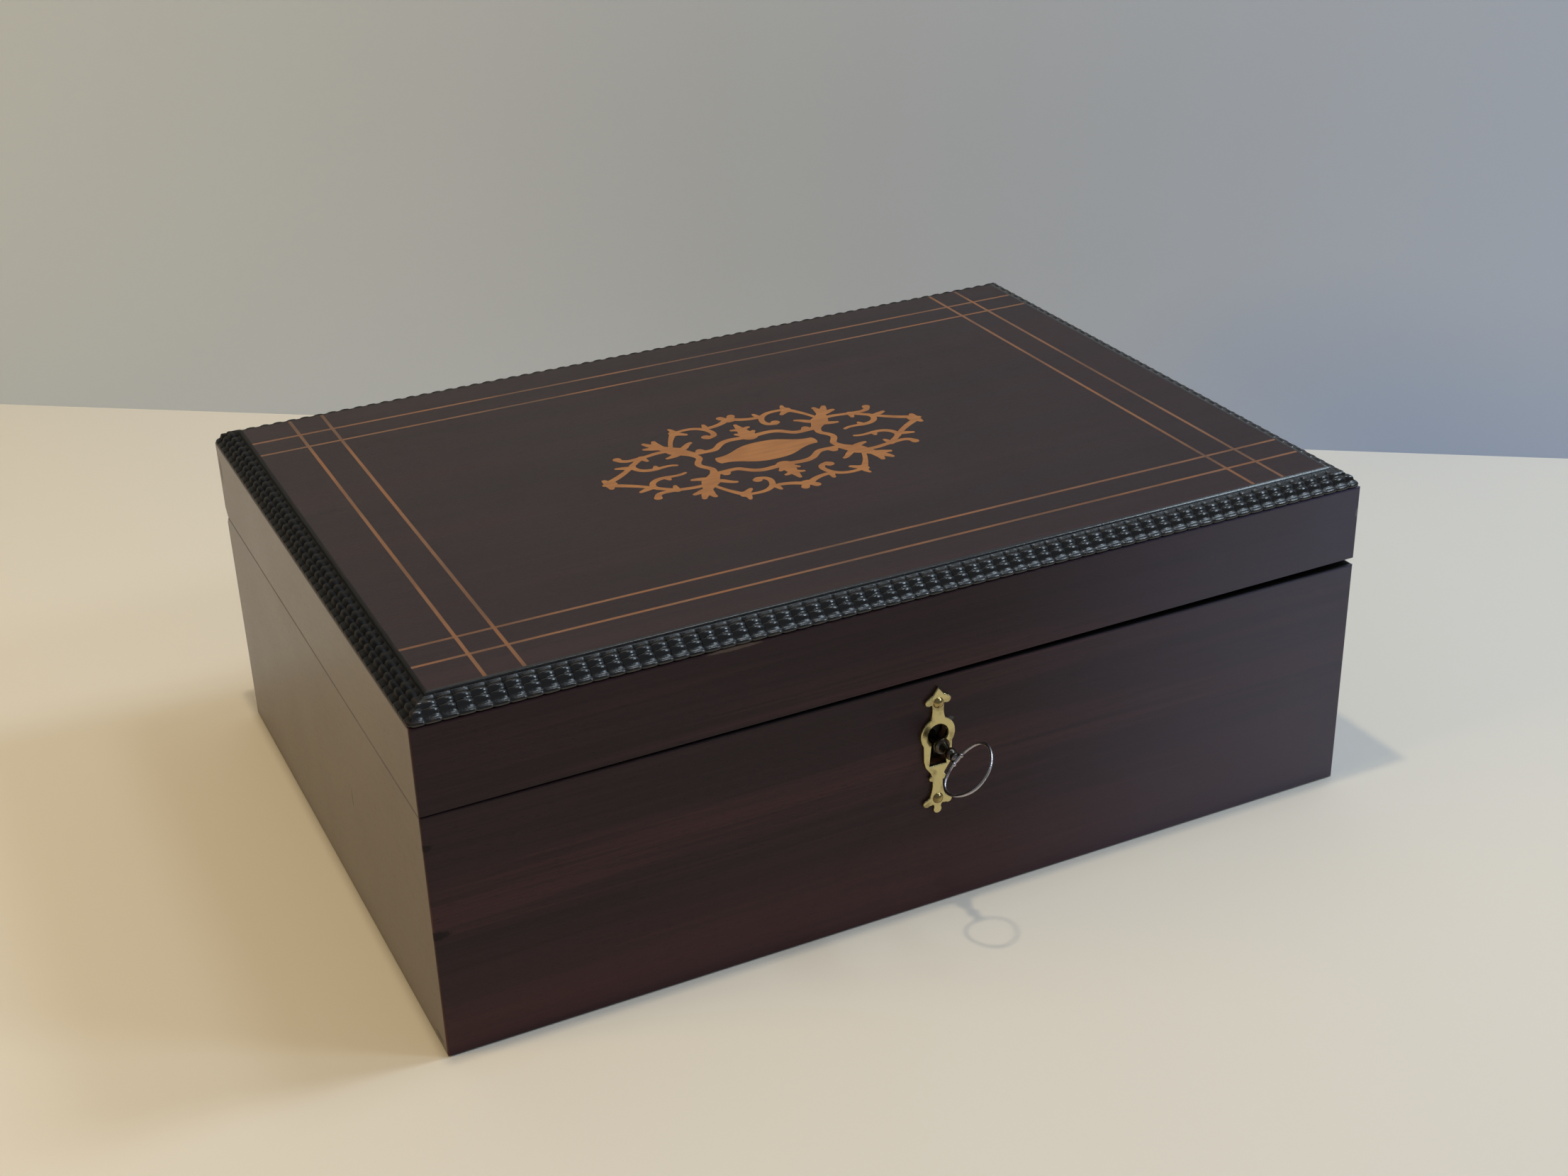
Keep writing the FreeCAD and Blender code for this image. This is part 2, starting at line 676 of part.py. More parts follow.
def make_key():
    tip = plate_face - KEY_TIP_GAP
    face = tip - escutcheon_face
    collar = face + COLLAR_REACH
    collar_end = collar + COLLAR_LENGTH
    ball = face + BALL_REACH
    near = face + BOW_NEAR
    small_end = near - SMALL_COLLAR_FALL
    small = small_end - SMALL_COLLAR_LENGTH
    profile = [
        (0, 0),
        (SHANK_RADIUS, 0),
        (SHANK_RADIUS, collar - COLLAR_RISE),
        (COLLAR_RADIUS, collar),
        (COLLAR_RADIUS, collar_end),
        (SHANK_RADIUS, collar_end + COLLAR_FALL),
        (NECK_RADIUS, ball),
        (NECK_RADIUS, small - SMALL_COLLAR_RISE),
        (SMALL_COLLAR_RADIUS, small),
        (SMALL_COLLAR_RADIUS, small_end),
        (NECK_RADIUS, near),
        (0, near),
    ]
    bore_depth = LOCK_DEPTH + PLATE_THICK
    stem = joined([spun(profile), Part.makeSphere(BALL_RADIUS, V(0, 0, ball))])
    bit_start = tip - bolt_y - BIT_LENGTH / 2
    bit = block(0, BIT_RADIUS, -BIT_THICK / 2, BIT_THICK / 2, bit_start, bit_start + BIT_LENGTH)
    stem = joined([stem, bit]).cut(rod(V(0, 0, -MARGIN), UP, POST_RADIUS + POST_FIT, bore_depth + MARGIN))
    bow = joined(key_bow())
    bow.rotate(V(0, 0, 0), RIGHT, 90)
    bow.translate(V(0, 0, near + BOW_NEAR_HALF))
    key = joined([stem, bow])
    key.rotate(V(0, 0, 0), RIGHT, 90)
    key.rotate(V(0, 0, 0), FRONT, 90 - KEY_SWING / 2)
    key.translate(V(KEY_X, tip, key_z))
    parts["key"] = key


# Moulding, stringing and marquetry

def moulding(half_length, half_depth):
    """One mitred length, along the front."""
    inner = half_depth - MOULDING_WIDTH
    shoulder = MOULDING_HEIGHT - FILLET_STEP
    groove = FILLET_WIDTH + QUIRK
    bead_in = MOULDING_WIDTH - BEAD / 2
    lower = V(0, bead_in - QUIRK, BEAD + QUIRK / 2)
    upper = V(0, groove, shoulder)
    chord = lower - upper
    outward = V(0, -chord.z, chord.y) * (1 / chord.Length)
    crown = (lower + upper) * 0.5 + outward * OVOLO_RISE
    bead = Part.Arc(V(0, bead_in, 0), V(0, MOULDING_WIDTH, BEAD / 2), V(0, bead_in, BEAD)).toShape()
    ovolo = Part.Arc(lower, crown, upper).toShape()
    run = [V(0, groove, shoulder), V(0, FILLET_WIDTH, shoulder), V(0, FILLET_WIDTH, MOULDING_HEIGHT)]
    run += [V(0, 0, MOULDING_HEIGHT), V(0, 0, 0), V(0, bead_in, 0)]
    edges = [bead, Part.makeLine(V(0, bead_in, BEAD), lower), ovolo]
    edges += [Part.makeLine(first, second) for first, second in zip(run, run[1:])]
    section = Part.Face(Part.Wire(Part.__sortEdges__(edges)))
    section = section.mirror(V(0, 0, 0), V(0, 1, 0))
    section.translate(V(-half_length, -inner, moulding_under))
    strip = section.extrude(V(2 * half_length, 0, 0))
    short = half_length - MOULDING_WIDTH
    plan = [
        V(-half_length, -half_depth, moulding_under),
        V(half_length, -half_depth, moulding_under),
        V(short, -inner, moulding_under),
        V(-short, -inner, moulding_under),
    ]
    return strip.common(prism(plan, V(0, 0, MOULDING_HEIGHT)))


def make_mouldings():
    turns = [("front", 0, half_w, half_d), ("right", 90, half_d, half_w)]
    turns += [("back", 180, half_w, half_d), ("left", 270, half_d, half_w)]
    for name, angle, half_length, half_depth in turns:
        strip = moulding(half_length, half_depth)
        strip.rotate(V(0, 0, 0), UP, angle)
        parts["moulding_" + name] = strip


def string_lines(outer):
    """Offsets of the four parallel lines, from the outer line's offset."""
    inner = outer - STRING_SPACING
    return [-outer, -inner, inner, outer]


def side_strings():
    z0 = top - INLAY_DEPTH
    half = STRING_WIDTH / 2
    lines = string_lines(half_w - STRING_FROM_SIDE)
    return [block(x - half, x + half, -field_d, field_d, z0, top) for x in lines]


def front_strings():
    """Lines along X, cut where the side lines pass."""
    z0 = top - INLAY_DEPTH
    half = STRING_WIDTH / 2
    crossings = string_lines(half_w - STRING_FROM_SIDE)
    starts = [-field_w] + [x + half for x in crossings]
    ends = [x - half for x in crossings] + [field_w]
    strings = []
    for y in string_lines(half_d - STRING_FROM_FRONT):
        strings += [block(x0, x1, y - half, y + half, z0, top) for x0, x1 in zip(starts, ends)]
    return strings


def ribbon(points, widths, grow):
    """A stroke through points, with widths at its start, middle and end, and round ends."""
    line = Part.BSplineCurve()
    line.interpolate([V(x, y, 0) for x, y in points])
    span = line.LastParameter - line.FirstParameter
    left = []
    right = []
    for step in range(RIBBON_STEPS + 1):
        share = 2 * step / RIBBON_STEPS
        at = line.value(line.FirstParameter + span * share / 2)
        along = line.tangent(line.FirstParameter + span * share / 2)[0]
        first, second = (widths[0], widths[1]) if share < 1 else (widths[1], widths[2])
        half = (first + (second - first) * (share % 1 if share < 2 else 1)) / 2 + grow
        across = V(-along.y, along.x, 0)
        left.append(at + across * half)
        right.append(at - across * half)
        if step == 0:
            start_tip = at - along * half
        end_tip = at + along * half
    left_edge = Part.BSplineCurve()
    left_edge.interpolate(left)
    right_edge = Part.BSplineCurve()
    right_edge.interpolate(list(reversed(right)))
    edges = [
        left_edge.toShape(),
        Part.Arc(left[-1], end_tip, right[-1]).toShape(),
        right_edge.toShape(),
        Part.Arc(right[0], start_tip, left[0]).toShape(),
    ]
    return Part.Face(Part.Wire(edges))


def scroll_quarter(grow):
    """Strokes of one quarter of the scrollwork, about the medallion's middle."""
    strokes = [
        # Straps round the cartouche
        ([(-0.6, 12.2), (5.0, 12.2), (9.0, 11.7), (11.2, 9.7), (13.6, 7.9), (17.0, 8.0), (20.6, 7.8)],
         (2.3, 2.1, 2.2)),
        ([(21.8, -0.6), (20.8, 2.6), (19.7, 4.7), (20.2, 6.8), (21.6, 9.4)], (1.9, 2.0, 2.4)),
        ([(16.6, 8.4), (17.4, 9.4)], (2.0, 2.3, 2.5)),
        # Leaf mass on the diagonal and its fan
        ([(21.0, 9.0), (23.6, 12.4), (26.4, 16.6)], (3.4, 5.4, 3.0)),
        ([(26.1, 16.4), (26.9, 19.6), (26.7, 22.2)], (2.4, 2.5, 1.5)),
        ([(26.4, 16.8), (28.5, 19.6), (29.9, 22.0)], (2.4, 2.6, 1.5)),
        ([(26.6, 16.6), (29.2, 17.7), (31.2, 18.3)], (2.2, 2.4, 1.4)),
        ([(23.0, 12.8), (20.4, 13.7), (18.8, 15.3), (17.4, 16.2)], (2.4, 2.1, 1.3)),
        ([(22.8, 11.4), (25.4, 9.6), (27.8, 8.9)], (3.0, 2.4, 1.3)),
        # Upper scroll with its bud, up to the middle of the long side
        ([(24.2, 14.4), (22.6, 19.0), (20.8, 22.4), (18.8, 25.4)], (1.3, 1.5, 2.2)),
        ([(18.9, 24.6), (18.5, 27.0), (18.9, 28.8)], (2.8, 2.0, 1.0)),
        ([(19.2, 25.6), (17.3, 23.8), (16.0, 22.7)], (2.4, 2.2, 1.4)),
        ([(18.4, 25.6), (14.6, 26.0), (11.4, 25.2), (9.2, 22.8), (8.4, 19.8), (9.1, 17.7), (10.8, 17.2)],
         (1.5, 1.8, 1.9)),
        ([(11.0, 17.3), (11.5, 17.9)], (2.4, 2.7, 2.9)),
        ([(9.3, 23.2), (8.6, 25.4), (8.4, 26.8)], (2.0, 1.8, 1.2)),
        ([(9.4, 24.0), (6.4, 24.1), (3.6, 25.0), (0.9, 26.9)], (1.7, 1.9, 2.2)),
        ([(-0.4, 26.2), (1.0, 27.8), (1.8, 29.0)], (2.6, 2.2, 2.5)),
        # Palmette on the long strap
        ([(0.0, 12.2), (0.0, 17.6), (0.0, 22.0)], (5.4, 3.2, 1.2)),
        ([(0.3, 17.0), (1.7, 18.4), (2.7, 18.7)], (2.0, 1.8, 1.3)),
        ([(0.4, 13.2), (2.0, 14.5), (2.8, 15.2)], (2.6, 2.2, 1.4)),
        # Side scroll out to the tip of the short side
        ([(25.2, 13.6), (29.5, 13.9), (33.5, 13.2), (37.5, 12.8), (40.3, 13.4), (41.1, 15.0)],
         (1.9, 1.7, 1.9)),
        ([(41.0, 14.8), (41.2, 15.4)], (2.2, 2.4, 2.5)),
        ([(34.4, 13.2), (34.1, 11.4), (33.8, 10.2)], (2.2, 1.9, 1.2)),
        ([(34.2, 13.0), (38.6, 9.4), (42.4, 5.8), (46.6, 2.8), (50.0, 0.8)], (1.8, 1.7, 2.2)),
        ([(40.2, 8.0), (42.2, 8.7), (43.8, 9.3)], (2.2, 2.0, 1.3)),
        ([(38.7, 9.4), (39.2, 6.7), (37.7, 4.4), (34.6, 3.4), (31.2, 3.7), (27.6, 3.1)], (1.9, 1.8, 1.2)),
        ([(33.6, 3.6), (33.3, 5.3)], (2.2, 1.9, 1.2)),
        ([(49.8, -0.4), (50.0, 1.6), (50.2, 2.9)], (3.0, 2.4, 1.6)),
        ([(49.0, 0.0), (51.2, 0.0)], (3.2, 2.6, 1.5)),
    ]
    return joined([ribbon(points, widths, grow) for points, widths in strokes])


def sunk(face):
    """Sinks a flat outline into the lid's top, at the medallion's place."""
    face.translate(V(0, MEDALLION_SHIFT, top))
    return face.extrude(V(0, 0, -INLAY_DEPTH))


def scrollwork(grow):
    middle = V(0, MEDALLION_SHIFT, 0)
    quarter = sunk(scroll_quarter(grow))
    half = joined([quarter, quarter.mirror(middle, RIGHT)])
    return joined([half, half.mirror(middle, FRONT)])


def cartouche(grow):
    upper = [(-15.5, 2.3), (-10.8, 3.2), (-5.8, 6.0), (0, 6.95), (5.8, 6.0), (10.8, 3.2), (15.5, 2.3)]
    points = [V(x, y + grow, 0) for x, y in upper]
    over = Part.BSplineCurve()
    over.interpolate(points)
    mirrored_points = [V(-point.x, -point.y, 0) for point in points]
    under = Part.BSplineCurve()
    under.interpolate(mirrored_points)
    bulge = 0.7 + grow
    edges = [
        over.toShape(),
        Part.Arc(points[-1], V(points[-1].x + bulge, 0, 0), mirrored_points[0]).toShape(),
        under.toShape(),
        Part.Arc(mirrored_points[-1], V(points[0].x - bulge, 0, 0), points[0]).toShape(),
    ]
    return Part.Face(Part.Wire(edges))


def make_top():
    pockets = [scrollwork(INLAY_FIT), sunk(cartouche(INLAY_FIT))]
    veneer = block(-field_w, field_w, -field_d, field_d, board_top, top)
    parts["top_veneer"] = without(veneer, side_strings() + front_strings() + pockets)
    parts["side_stringing"] = Part.makeCompound(side_strings())
    parts["front_back_stringing"] = Part.makeCompound(front_strings())
    parts["marquetry_scrolls"] = scrollwork(0)
    parts["marquetry_cartouche"] = sunk(cartouche(0))
    board = block(-core_w, core_w, -core_d, core_d, board_under, board_top)
    edge = block(-half_w, half_w, -half_d, half_d, moulding_under, top)
    field = block(-field_w, field_w, -field_d, field_d, moulding_under, top)
    parts["lid_top"] = board.cut(edge.cut(field))


# Base and lid

def side_veneers(z0, z1):
    """Front, back, left and right veneers between two heights."""
    return [
        block(-half_w, half_w, -half_d, -core_d, z0, z1),
        block(-half_w, half_w, core_d, half_d, z0, z1),
        block(-half_w, -core_w, -core_d, core_d, z0, z1),
        block(core_w, half_w, -core_d, core_d, z0, z1),
    ]


def lining(z0, z1, sheet_z):
    """Four wall sheets between two heights and a flat sheet at sheet_z."""
    return [
        block(-inner_w, inner_w, -inner_d, -inner_d + PAPER, z0, z1),
        block(-inner_w, inner_w, inner_d - PAPER, inner_d, z0, z1),
        block(-inner_w, -inner_w + PAPER, -inner_d + PAPER, inner_d - PAPER, z0, z1),
        block(inner_w - PAPER, inner_w, -inner_d + PAPER, inner_d - PAPER, z0, z1),
        block(-inner_w, inner_w, -inner_d, inner_d, sheet_z, sheet_z + PAPER),
    ]


def make_base():
    bottom = block(
        -inner_w - BOTTOM_REBATE, inner_w + BOTTOM_REBATE,
        -inner_d - BOTTOM_REBATE, inner_d + BOTTOM_REBATE, 0, BOTTOM_THICK)
    parts["bottom_board"] = bottom
    front, back, left, right = [board.cut(bottom) for board in frame_boards(0, base_rim)]
    nails = [nail_hole(place) for place in nail_places()]
    lock_holes = [screw_hole(head, axis) for head, axis in lock_screws()]
    opening = keyhole(-half_d - MARGIN, mortise_end + MARGIN, KEYHOLE_FIT)
    lock_room = lock_plate_blocks() + lock_mortise() + lock_holes
    parts["base_front"] = without(front, lock_room + nails + [opening])
    hinges = hinge_recess(-hinge_x, False) + hinge_recess(hinge_x, False)
    parts["base_back"] = without(back, hinges + [rim_bevel(base_rim, -1)])
    parts["base_left"] = left
    parts["base_right"] = right
    front, back, left, right = side_veneers(0, base_rim)
    parts["base_front_veneer"] = rounded_uprights(without(front, nails + [opening]), -half_d)
    parts["base_back_veneer"] = without(
        rounded_uprights(back, half_d), [rim_bevel(base_rim, -1)] + hinges)
    parts["base_left_veneer"] = left.cut(rim_bevel(base_rim, -1))
    parts["base_right_veneer"] = right.cut(rim_bevel(base_rim, -1))
    floor = BOTTOM_THICK + PAPER
    sheets = lining(floor, base_rim - LINING_MARGIN, BOTTOM_THICK)
    reach = LOCK_WIDTH / 2 + LOCK_FIT
    round_lock = block(
        KEY_X - reach, KEY_X + reach, -half_d, half_d, base_rim - LOCK_HEIGHT - LOCK_FIT, base_rim)
    sheets[0] = sheets[0].cut(round_lock)
    parts["base_lining"] = Part.makeCompound(sheets)


def make_lid():
    front, back, left, right = frame_boards(lid_rim, board_under)
    strike_holes = [screw_hole(head, UP) for head in strike_screws()]
    parts["lid_front"] = without(front, [warp_front(), strike_block(lid_rim)] + strike_holes)
    hinges = hinge_recess(-hinge_x, True) + hinge_recess(hinge_x, True)
    parts["lid_back"] = without(back, hinges + [rim_bevel(lid_rim, 1)])
    parts["lid_left"] = left
    parts["lid_right"] = right.cut(warp_right())
    front, back, left, right = side_veneers(lid_rim, moulding_under)
    parts["lid_front_veneer"] = rounded_uprights(front, -half_d).cut(warp_front())
    parts["lid_back_veneer"] = without(rounded_uprights(back, half_d), [rim_bevel(lid_rim, 1)] + hinges)
    parts["lid_left_veneer"] = left.cut(rim_bevel(lid_rim, 1))
    parts["lid_right_veneer"] = without(right, [warp_right(), rim_bevel(lid_rim, 1)])
    sheets = lining(lid_rim + LID_WARP + LINING_MARGIN, board_under - PAPER, board_under - PAPER)
    parts["lid_lining"] = Part.makeCompound(sheets)


def make_hinges():
    for side, name in ((-1, "left"), (1, "right")):
        middle = side * hinge_x
        parts["hinge_lower_" + name] = hinge_leaf(middle, False)
        parts["hinge_upper_" + name] = hinge_leaf(middle, True)
        reach = HINGE_LENGTH / 2
        parts["hinge_pin_" + name] = axis_rod(middle - reach, middle + reach, PIN_RADIUS)
    middles = (-hinge_x, hinge_x)
    lower = [screw(head, DOWN) for middle in middles for head in leaf_screws(middle, False)]
    upper = [screw(head, UP) for middle in middles for head in leaf_screws(middle, True)]
    parts["hinge_lower_screws"] = Part.makeCompound(lower)
    parts["hinge_upper_screws"] = Part.makeCompound(upper)


make_base()
make_lid()
make_top()
make_mouldings()
make_hinges()
make_escutcheon()
make_lock()
make_strike()
make_key()

os.makedirs("parts", exist_ok=True)
for name, shape in parts.items():
    shape.exportStep("parts/" + name + ".step")

print("nodes", len(parts), "height", round(top, 2))
print("bolt throw mm", round(throw, 4), "ratio m per rad", round(throw / 1000 / math.radians(KEY_SWING), 7))
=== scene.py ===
"""Looks of a veneered box with a hinged lid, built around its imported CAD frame."""

import json
import math
import random

import bmesh
import bpy
from bpy.props import FloatProperty, FloatVectorProperty, IntProperty, PointerProperty
from mathutils import Matrix, Quaternion, Vector


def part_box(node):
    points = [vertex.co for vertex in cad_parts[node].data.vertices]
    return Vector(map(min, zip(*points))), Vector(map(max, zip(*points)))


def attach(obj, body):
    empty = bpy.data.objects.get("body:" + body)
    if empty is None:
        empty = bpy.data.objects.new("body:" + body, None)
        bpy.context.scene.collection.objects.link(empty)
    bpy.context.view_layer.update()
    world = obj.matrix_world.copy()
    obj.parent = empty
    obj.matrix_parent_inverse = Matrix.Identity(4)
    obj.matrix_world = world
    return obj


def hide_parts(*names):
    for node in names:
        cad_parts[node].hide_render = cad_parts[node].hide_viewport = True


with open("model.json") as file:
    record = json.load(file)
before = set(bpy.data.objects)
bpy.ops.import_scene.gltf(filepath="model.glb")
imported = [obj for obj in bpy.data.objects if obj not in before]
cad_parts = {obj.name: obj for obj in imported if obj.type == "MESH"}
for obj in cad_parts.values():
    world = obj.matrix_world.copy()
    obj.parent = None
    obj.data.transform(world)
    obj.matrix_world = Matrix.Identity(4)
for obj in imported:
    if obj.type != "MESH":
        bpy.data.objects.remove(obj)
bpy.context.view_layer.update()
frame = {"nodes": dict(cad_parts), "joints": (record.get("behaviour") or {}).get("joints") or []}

bl_info = {
    "name": "Inlaid box looks",
    "version": (1, 0, 0),
    "blender": (4, 5, 0),
    "location": "View3D > Sidebar > Inlaid box",
    "description": "Finishes a veneered box with ripple mouldings, marquetry, brass and a lock",
    "category": "Object",
}

MM = 0.001
X, Y, Z = 0, 1, 2

# Lengths and an angle below which a mesh is simplified
WELD = 0.0005 * MM
SHORTEST = 0.02 * MM
FLAT = math.radians(0.5)

# Angles above which an edge is eased or shaded as sharp, and how near a point counts as in a face
SHARP = math.radians(35)
CREASE = math.radians(38)
NEAR = 0.05 * MM

# Places taken from the frame
base_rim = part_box("base_front_veneer")[1].z
front_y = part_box("base_front_veneer")[0].y
left_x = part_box("base_left_veneer")[0].x
right_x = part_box("base_right_veneer")[1].x
moulding_low, moulding_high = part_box("moulding_front")
joints = {joint["name"]: joint for joint in frame["joints"]}
key_axis = Vector(joints["key_turn"]["pos_m"])
key_swing = math.radians(joints["key_turn"]["range_deg"][1])

# Sides of the box, and those that run along it
SIDES = ["front", "back", "left", "right"]
LENGTHWISE = ["front", "back"]

# Nodes by finish
HINGE_LEAVES = ["hinge_lower_left", "hinge_lower_right", "hinge_upper_left", "hinge_upper_right"]
HINGE_PINS = ["hinge_pin_left", "hinge_pin_right"]
HINGE_SCREWS = ["hinge_lower_screws", "hinge_upper_screws"]
LOCK_BRASS = ["lock_plate", "strike_plate", "lock_screws", "strike_screws"]
LOCK_STEEL = ["lock_cap", "lock_bolt", "lock_loop", "lock_spring", "key_post", "bolt_stud"]


# Shader expressions

def ready_node(tree, kind):
    """The node of a type that a new node tree already holds."""
    return next(node for node in tree.nodes if node.type == kind)


class Socket:
    """One output of a material's nodes. Arithmetic on it adds Math nodes."""

    def __init__(self, shader, output):
        self.shader = shader
        self.output = output

    def joined(self, operation, first, second):
        return self.shader.node("ShaderNodeMath", {"operation": operation}, {0: first, 1: second})

    def __add__(self, other):
        return self.joined("ADD", self, other)

    def __radd__(self, other):
        return self.joined("ADD", other, self)

    def __sub__(self, other):
        return self.joined("SUBTRACT", self, other)

    def __rsub__(self, other):
        return self.joined("SUBTRACT", other, self)

    def __mul__(self, other):
        return self.joined("MULTIPLY", self, other)

    def __rmul__(self, other):
        return self.joined("MULTIPLY", other, self)

    def __abs__(self):
        return self.joined("ABSOLUTE", self, 0.0)


class Shader:
    """A material made of nodes round one Principled BSDF."""

    SEED_STEP = (3.17, 1.71, 2.39)
    RAGGEDNESS = 0.7
    RAGGED_SIZE = 0.6 * MM
    RAGGED_SEED = 5.0

    def __init__(self, name, **constants):
        self.material = bpy.data.materials.new(name)
        self.material.use_nodes = True
        self.tree = self.material.node_tree
        self.surface = ready_node(self.tree, "BSDF_PRINCIPLED")
        self.place = self.node("ShaderNodeTexCoord", output="Object")
        for socket, value in constants.items():
            self.feed(socket.replace("_", " "), value)

    def node(self, kind, settings=None, inputs=None, output=0):
        """Adds a node, sets its settings, then its sockets, and returns one of its outputs."""
        made = self.tree.nodes.new(kind)
        for name, value in (settings or {}).items():
            setattr(made, name, value)
        for name, value in (inputs or {}).items():
            self.connect(made.inputs[name], value)
        return Socket(self, made.outputs[output])

    def connect(self, socket, value):
        """Links an output to a socket, or sets the socket to a number, a vector or a colour."""
        if isinstance(value, Socket):
            self.tree.links.new(value.output, socket)
        elif socket.type == "RGBA":
            socket.default_value = (*value, 1.0)
        else:
            socket.default_value = value

    def feed(self, name, value):
        """Gives a value or a link to the surface's socket of that name."""
        self.connect(self.surface.inputs[name], value)

    def vector(self, operation, first, second=(0.0, 0.0, 0.0), output="Vector"):
        inputs = {0: first, 1: second}
        return self.node("ShaderNodeVectorMath", {"operation": operation}, inputs, output)

    def axis(self, index):
        return self.node("ShaderNodeSeparateXYZ", None, {0: self.place}, index)

    def mix(self, factor, first, second):
        """A colour between two colours."""
        inputs = {0: factor, 6: first, 7: second}
        return self.node("ShaderNodeMix", {"data_type": "RGBA"}, inputs, 2)

    def step(self, value, start, end):
        """0 before start, 1 after end, smooth between them."""
        inputs = {"Value": value, "From Min": start, "From Max": end}
        return self.node("ShaderNodeMapRange", {"interpolation_type": "SMOOTHSTEP"}, inputs)

    def noise(self, size, seed, detail=2.0, distortion=0.0):
        """Noise whose patches have a size in metres, given for each axis."""
        scaled = self.vector("DIVIDE", self.place, size)
        moved = self.vector("ADD", scaled, [seed * step for step in self.SEED_STEP])
        inputs = {"Vector": moved, "Scale": 1.0, "Detail": detail, "Distortion": distortion}
        return self.node("ShaderNodeTexNoise", None, inputs)

    def grain(self, along, across, length, seed, detail=2.0, distortion=0.0):
        """Noise drawn out along one axis."""
        size = [across, across, across]
        size[along] = length
        return self.noise(size, seed, detail, distortion)

    def spot(self, centre, radii):
        """1 inside an ellipsoid and 0 outside, with a ragged rim."""
        offset = self.vector("SUBTRACT", self.place, centre)
        scaled = self.vector("DIVIDE", offset, radii)
        reach = self.vector("LENGTH", scaled, output="Value")
        rough = self.noise([self.RAGGED_SIZE] * 3, self.RAGGED_SEED, 3.0)
        return self.step(reach + (rough - 0.5) * self.RAGGEDNESS, 1.0, 0.6)

    def bump(self, height, distance):
        """Relief of the surface, as high as the distance where the height is 1."""
        inputs = {"Height": height, "Distance": distance, "Strength": 1.0}
        self.feed("Normal", self.node("ShaderNodeBump", None, inputs))


# Mesh pieces

def in_scene(name, data):
    """A new object in the scene."""
    item = bpy.data.objects.new(name, data)
    bpy.context.scene.collection.objects.link(item)
    return item


def piece_from(name, mesh_data, material, body, replaced):
    """Places a mesh, gives it its material and ties it to its body."""
    piece = in_scene(name, mesh_data)
    mesh_data.materials.append(material)
    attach(piece, body)
    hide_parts(*replaced)
    return piece


def mesh_of(work, name, rounded=None):
    """Closes a bmesh into a mesh, smooth between creases or, where given, only on rounded faces."""
    bmesh.ops.dissolve_degenerate(work, dist=WELD, edges=work.edges)
    bmesh.ops.recalc_face_normals(work, faces=work.faces)
    if work.calc_volume(signed=True) < 0:
        bmesh.ops.reverse_faces(work, faces=work.faces)
    work.faces.index_update()
    flat = set()
    if rounded is not None:
        flat = {face.index for face in work.faces} - {face.index for face in rounded if face.is_valid}
    data = bpy.data.meshes.new(name)
    work.to_mesh(data)
    work.free()
    data.set_sharp_from_angle(angle=CREASE)
    for index in flat:
        data.polygons[index].use_smooth = False
    return data


def eased(node, width, chosen=None, segments=2):
    """A copy of a node's mesh with sharp edges eased; chosen(middle, direction) picks among them."""
    source = frame["nodes"][node].data
    bare = bpy.data.meshes.new(node)
    bare.from_pydata([v.co for v in source.vertices], [], [list(p.vertices) for p in source.polygons])
    work = bmesh.new()
    work.from_mesh(bare)
    bpy.data.meshes.remove(bare)
    bmesh.ops.remove_doubles(work, verts=work.verts, dist=SHORTEST)
    bmesh.ops.dissolve_limit(work, angle_limit=FLAT, verts=work.verts, edges=work.edges)
    sharp = []
    for edge in work.edges:
        if len(edge.link_faces) == 2 and edge.calc_face_angle() > SHARP:
            first, second = (vertex.co for vertex in edge.verts)
            if chosen is None or chosen((first + second) / 2, (second - first).normalized()):
                sharp.append(edge)
    made = bmesh.ops.bevel(
        work, geom=sharp, offset=width, offset_type="OFFSET", segments=segments, profile=0.5,
        affect="EDGES", clamp_overlap=False)
    return mesh_of(work, node + "_eased", made["faces"])


def paint(nodes, material):
    """Gives CAD nodes a finish."""
    for node in nodes:
        slots = frame["nodes"][node].data.materials
        slots.clear()
        slots.append(material)


def lathe(work, profile, segments, placed):
    """Turns pairs of radius and height about Z into a bmesh, moved by a matrix."""
    rings = []
    for radius, height in profile:
        count = segments if radius > 0 else 1
        ring = []
        for index in range(count):
            angle = 2 * math.pi * index / count
            point = Vector((radius * math.cos(angle), radius * math.sin(angle), height))
            ring.append(work.verts.new(placed @ point))
        rings.append(ring)
    for lower, upper in zip(rings, rings[1:]):
        for index in range(segments):
            after = (index + 1) % segments
            corners = [lower[index % len(lower)], lower[after % len(lower)]]
            corners += [upper[after % len(upper)], upper[index % len(upper)]]
            unique = list(dict.fromkeys(corners))
            if len(unique) > 2:
                work.faces.new(unique)


def skin(work, rings):
    """Faces between rings that have the same number of vertices."""
    for first, second in zip(rings, rings[1:]):
        for index in range(len(first)):
            after = (index + 1) % len(first)
            work.faces.new((first[index], second[index], second[after], first[after]))


def united(name, shapes):
    """One closed mesh out of overlapping closed shapes."""
    items = [in_scene(name + "_shape", mesh_of(work, name + "_shape")) for work in shapes]
    for item in items[1:]:
        join = items[0].modifiers.new("join", "BOOLEAN")
        join.operation = "UNION"
        join.solver = "EXACT"
        join.object = item
    work = bmesh.new()
    work.from_object(items[0], bpy.context.evaluated_depsgraph_get())
    for item in items:
        data = item.data
        bpy.data.objects.remove(item)
        bpy.data.meshes.remove(data)
    return mesh_of(work, name)


# Sizes and colours that a user would change

def colour(name, description, default):
    return FloatVectorProperty(
        name=name, description=description, default=default, subtype="COLOR", size=3, min=0, max=1)


def length(name, description, default):
    return FloatProperty(name=name, description=description, default=default, unit="LENGTH", precision=5)


def power(name, description, default):
    return FloatProperty(name=name, description=description, default=default, unit="POWER")


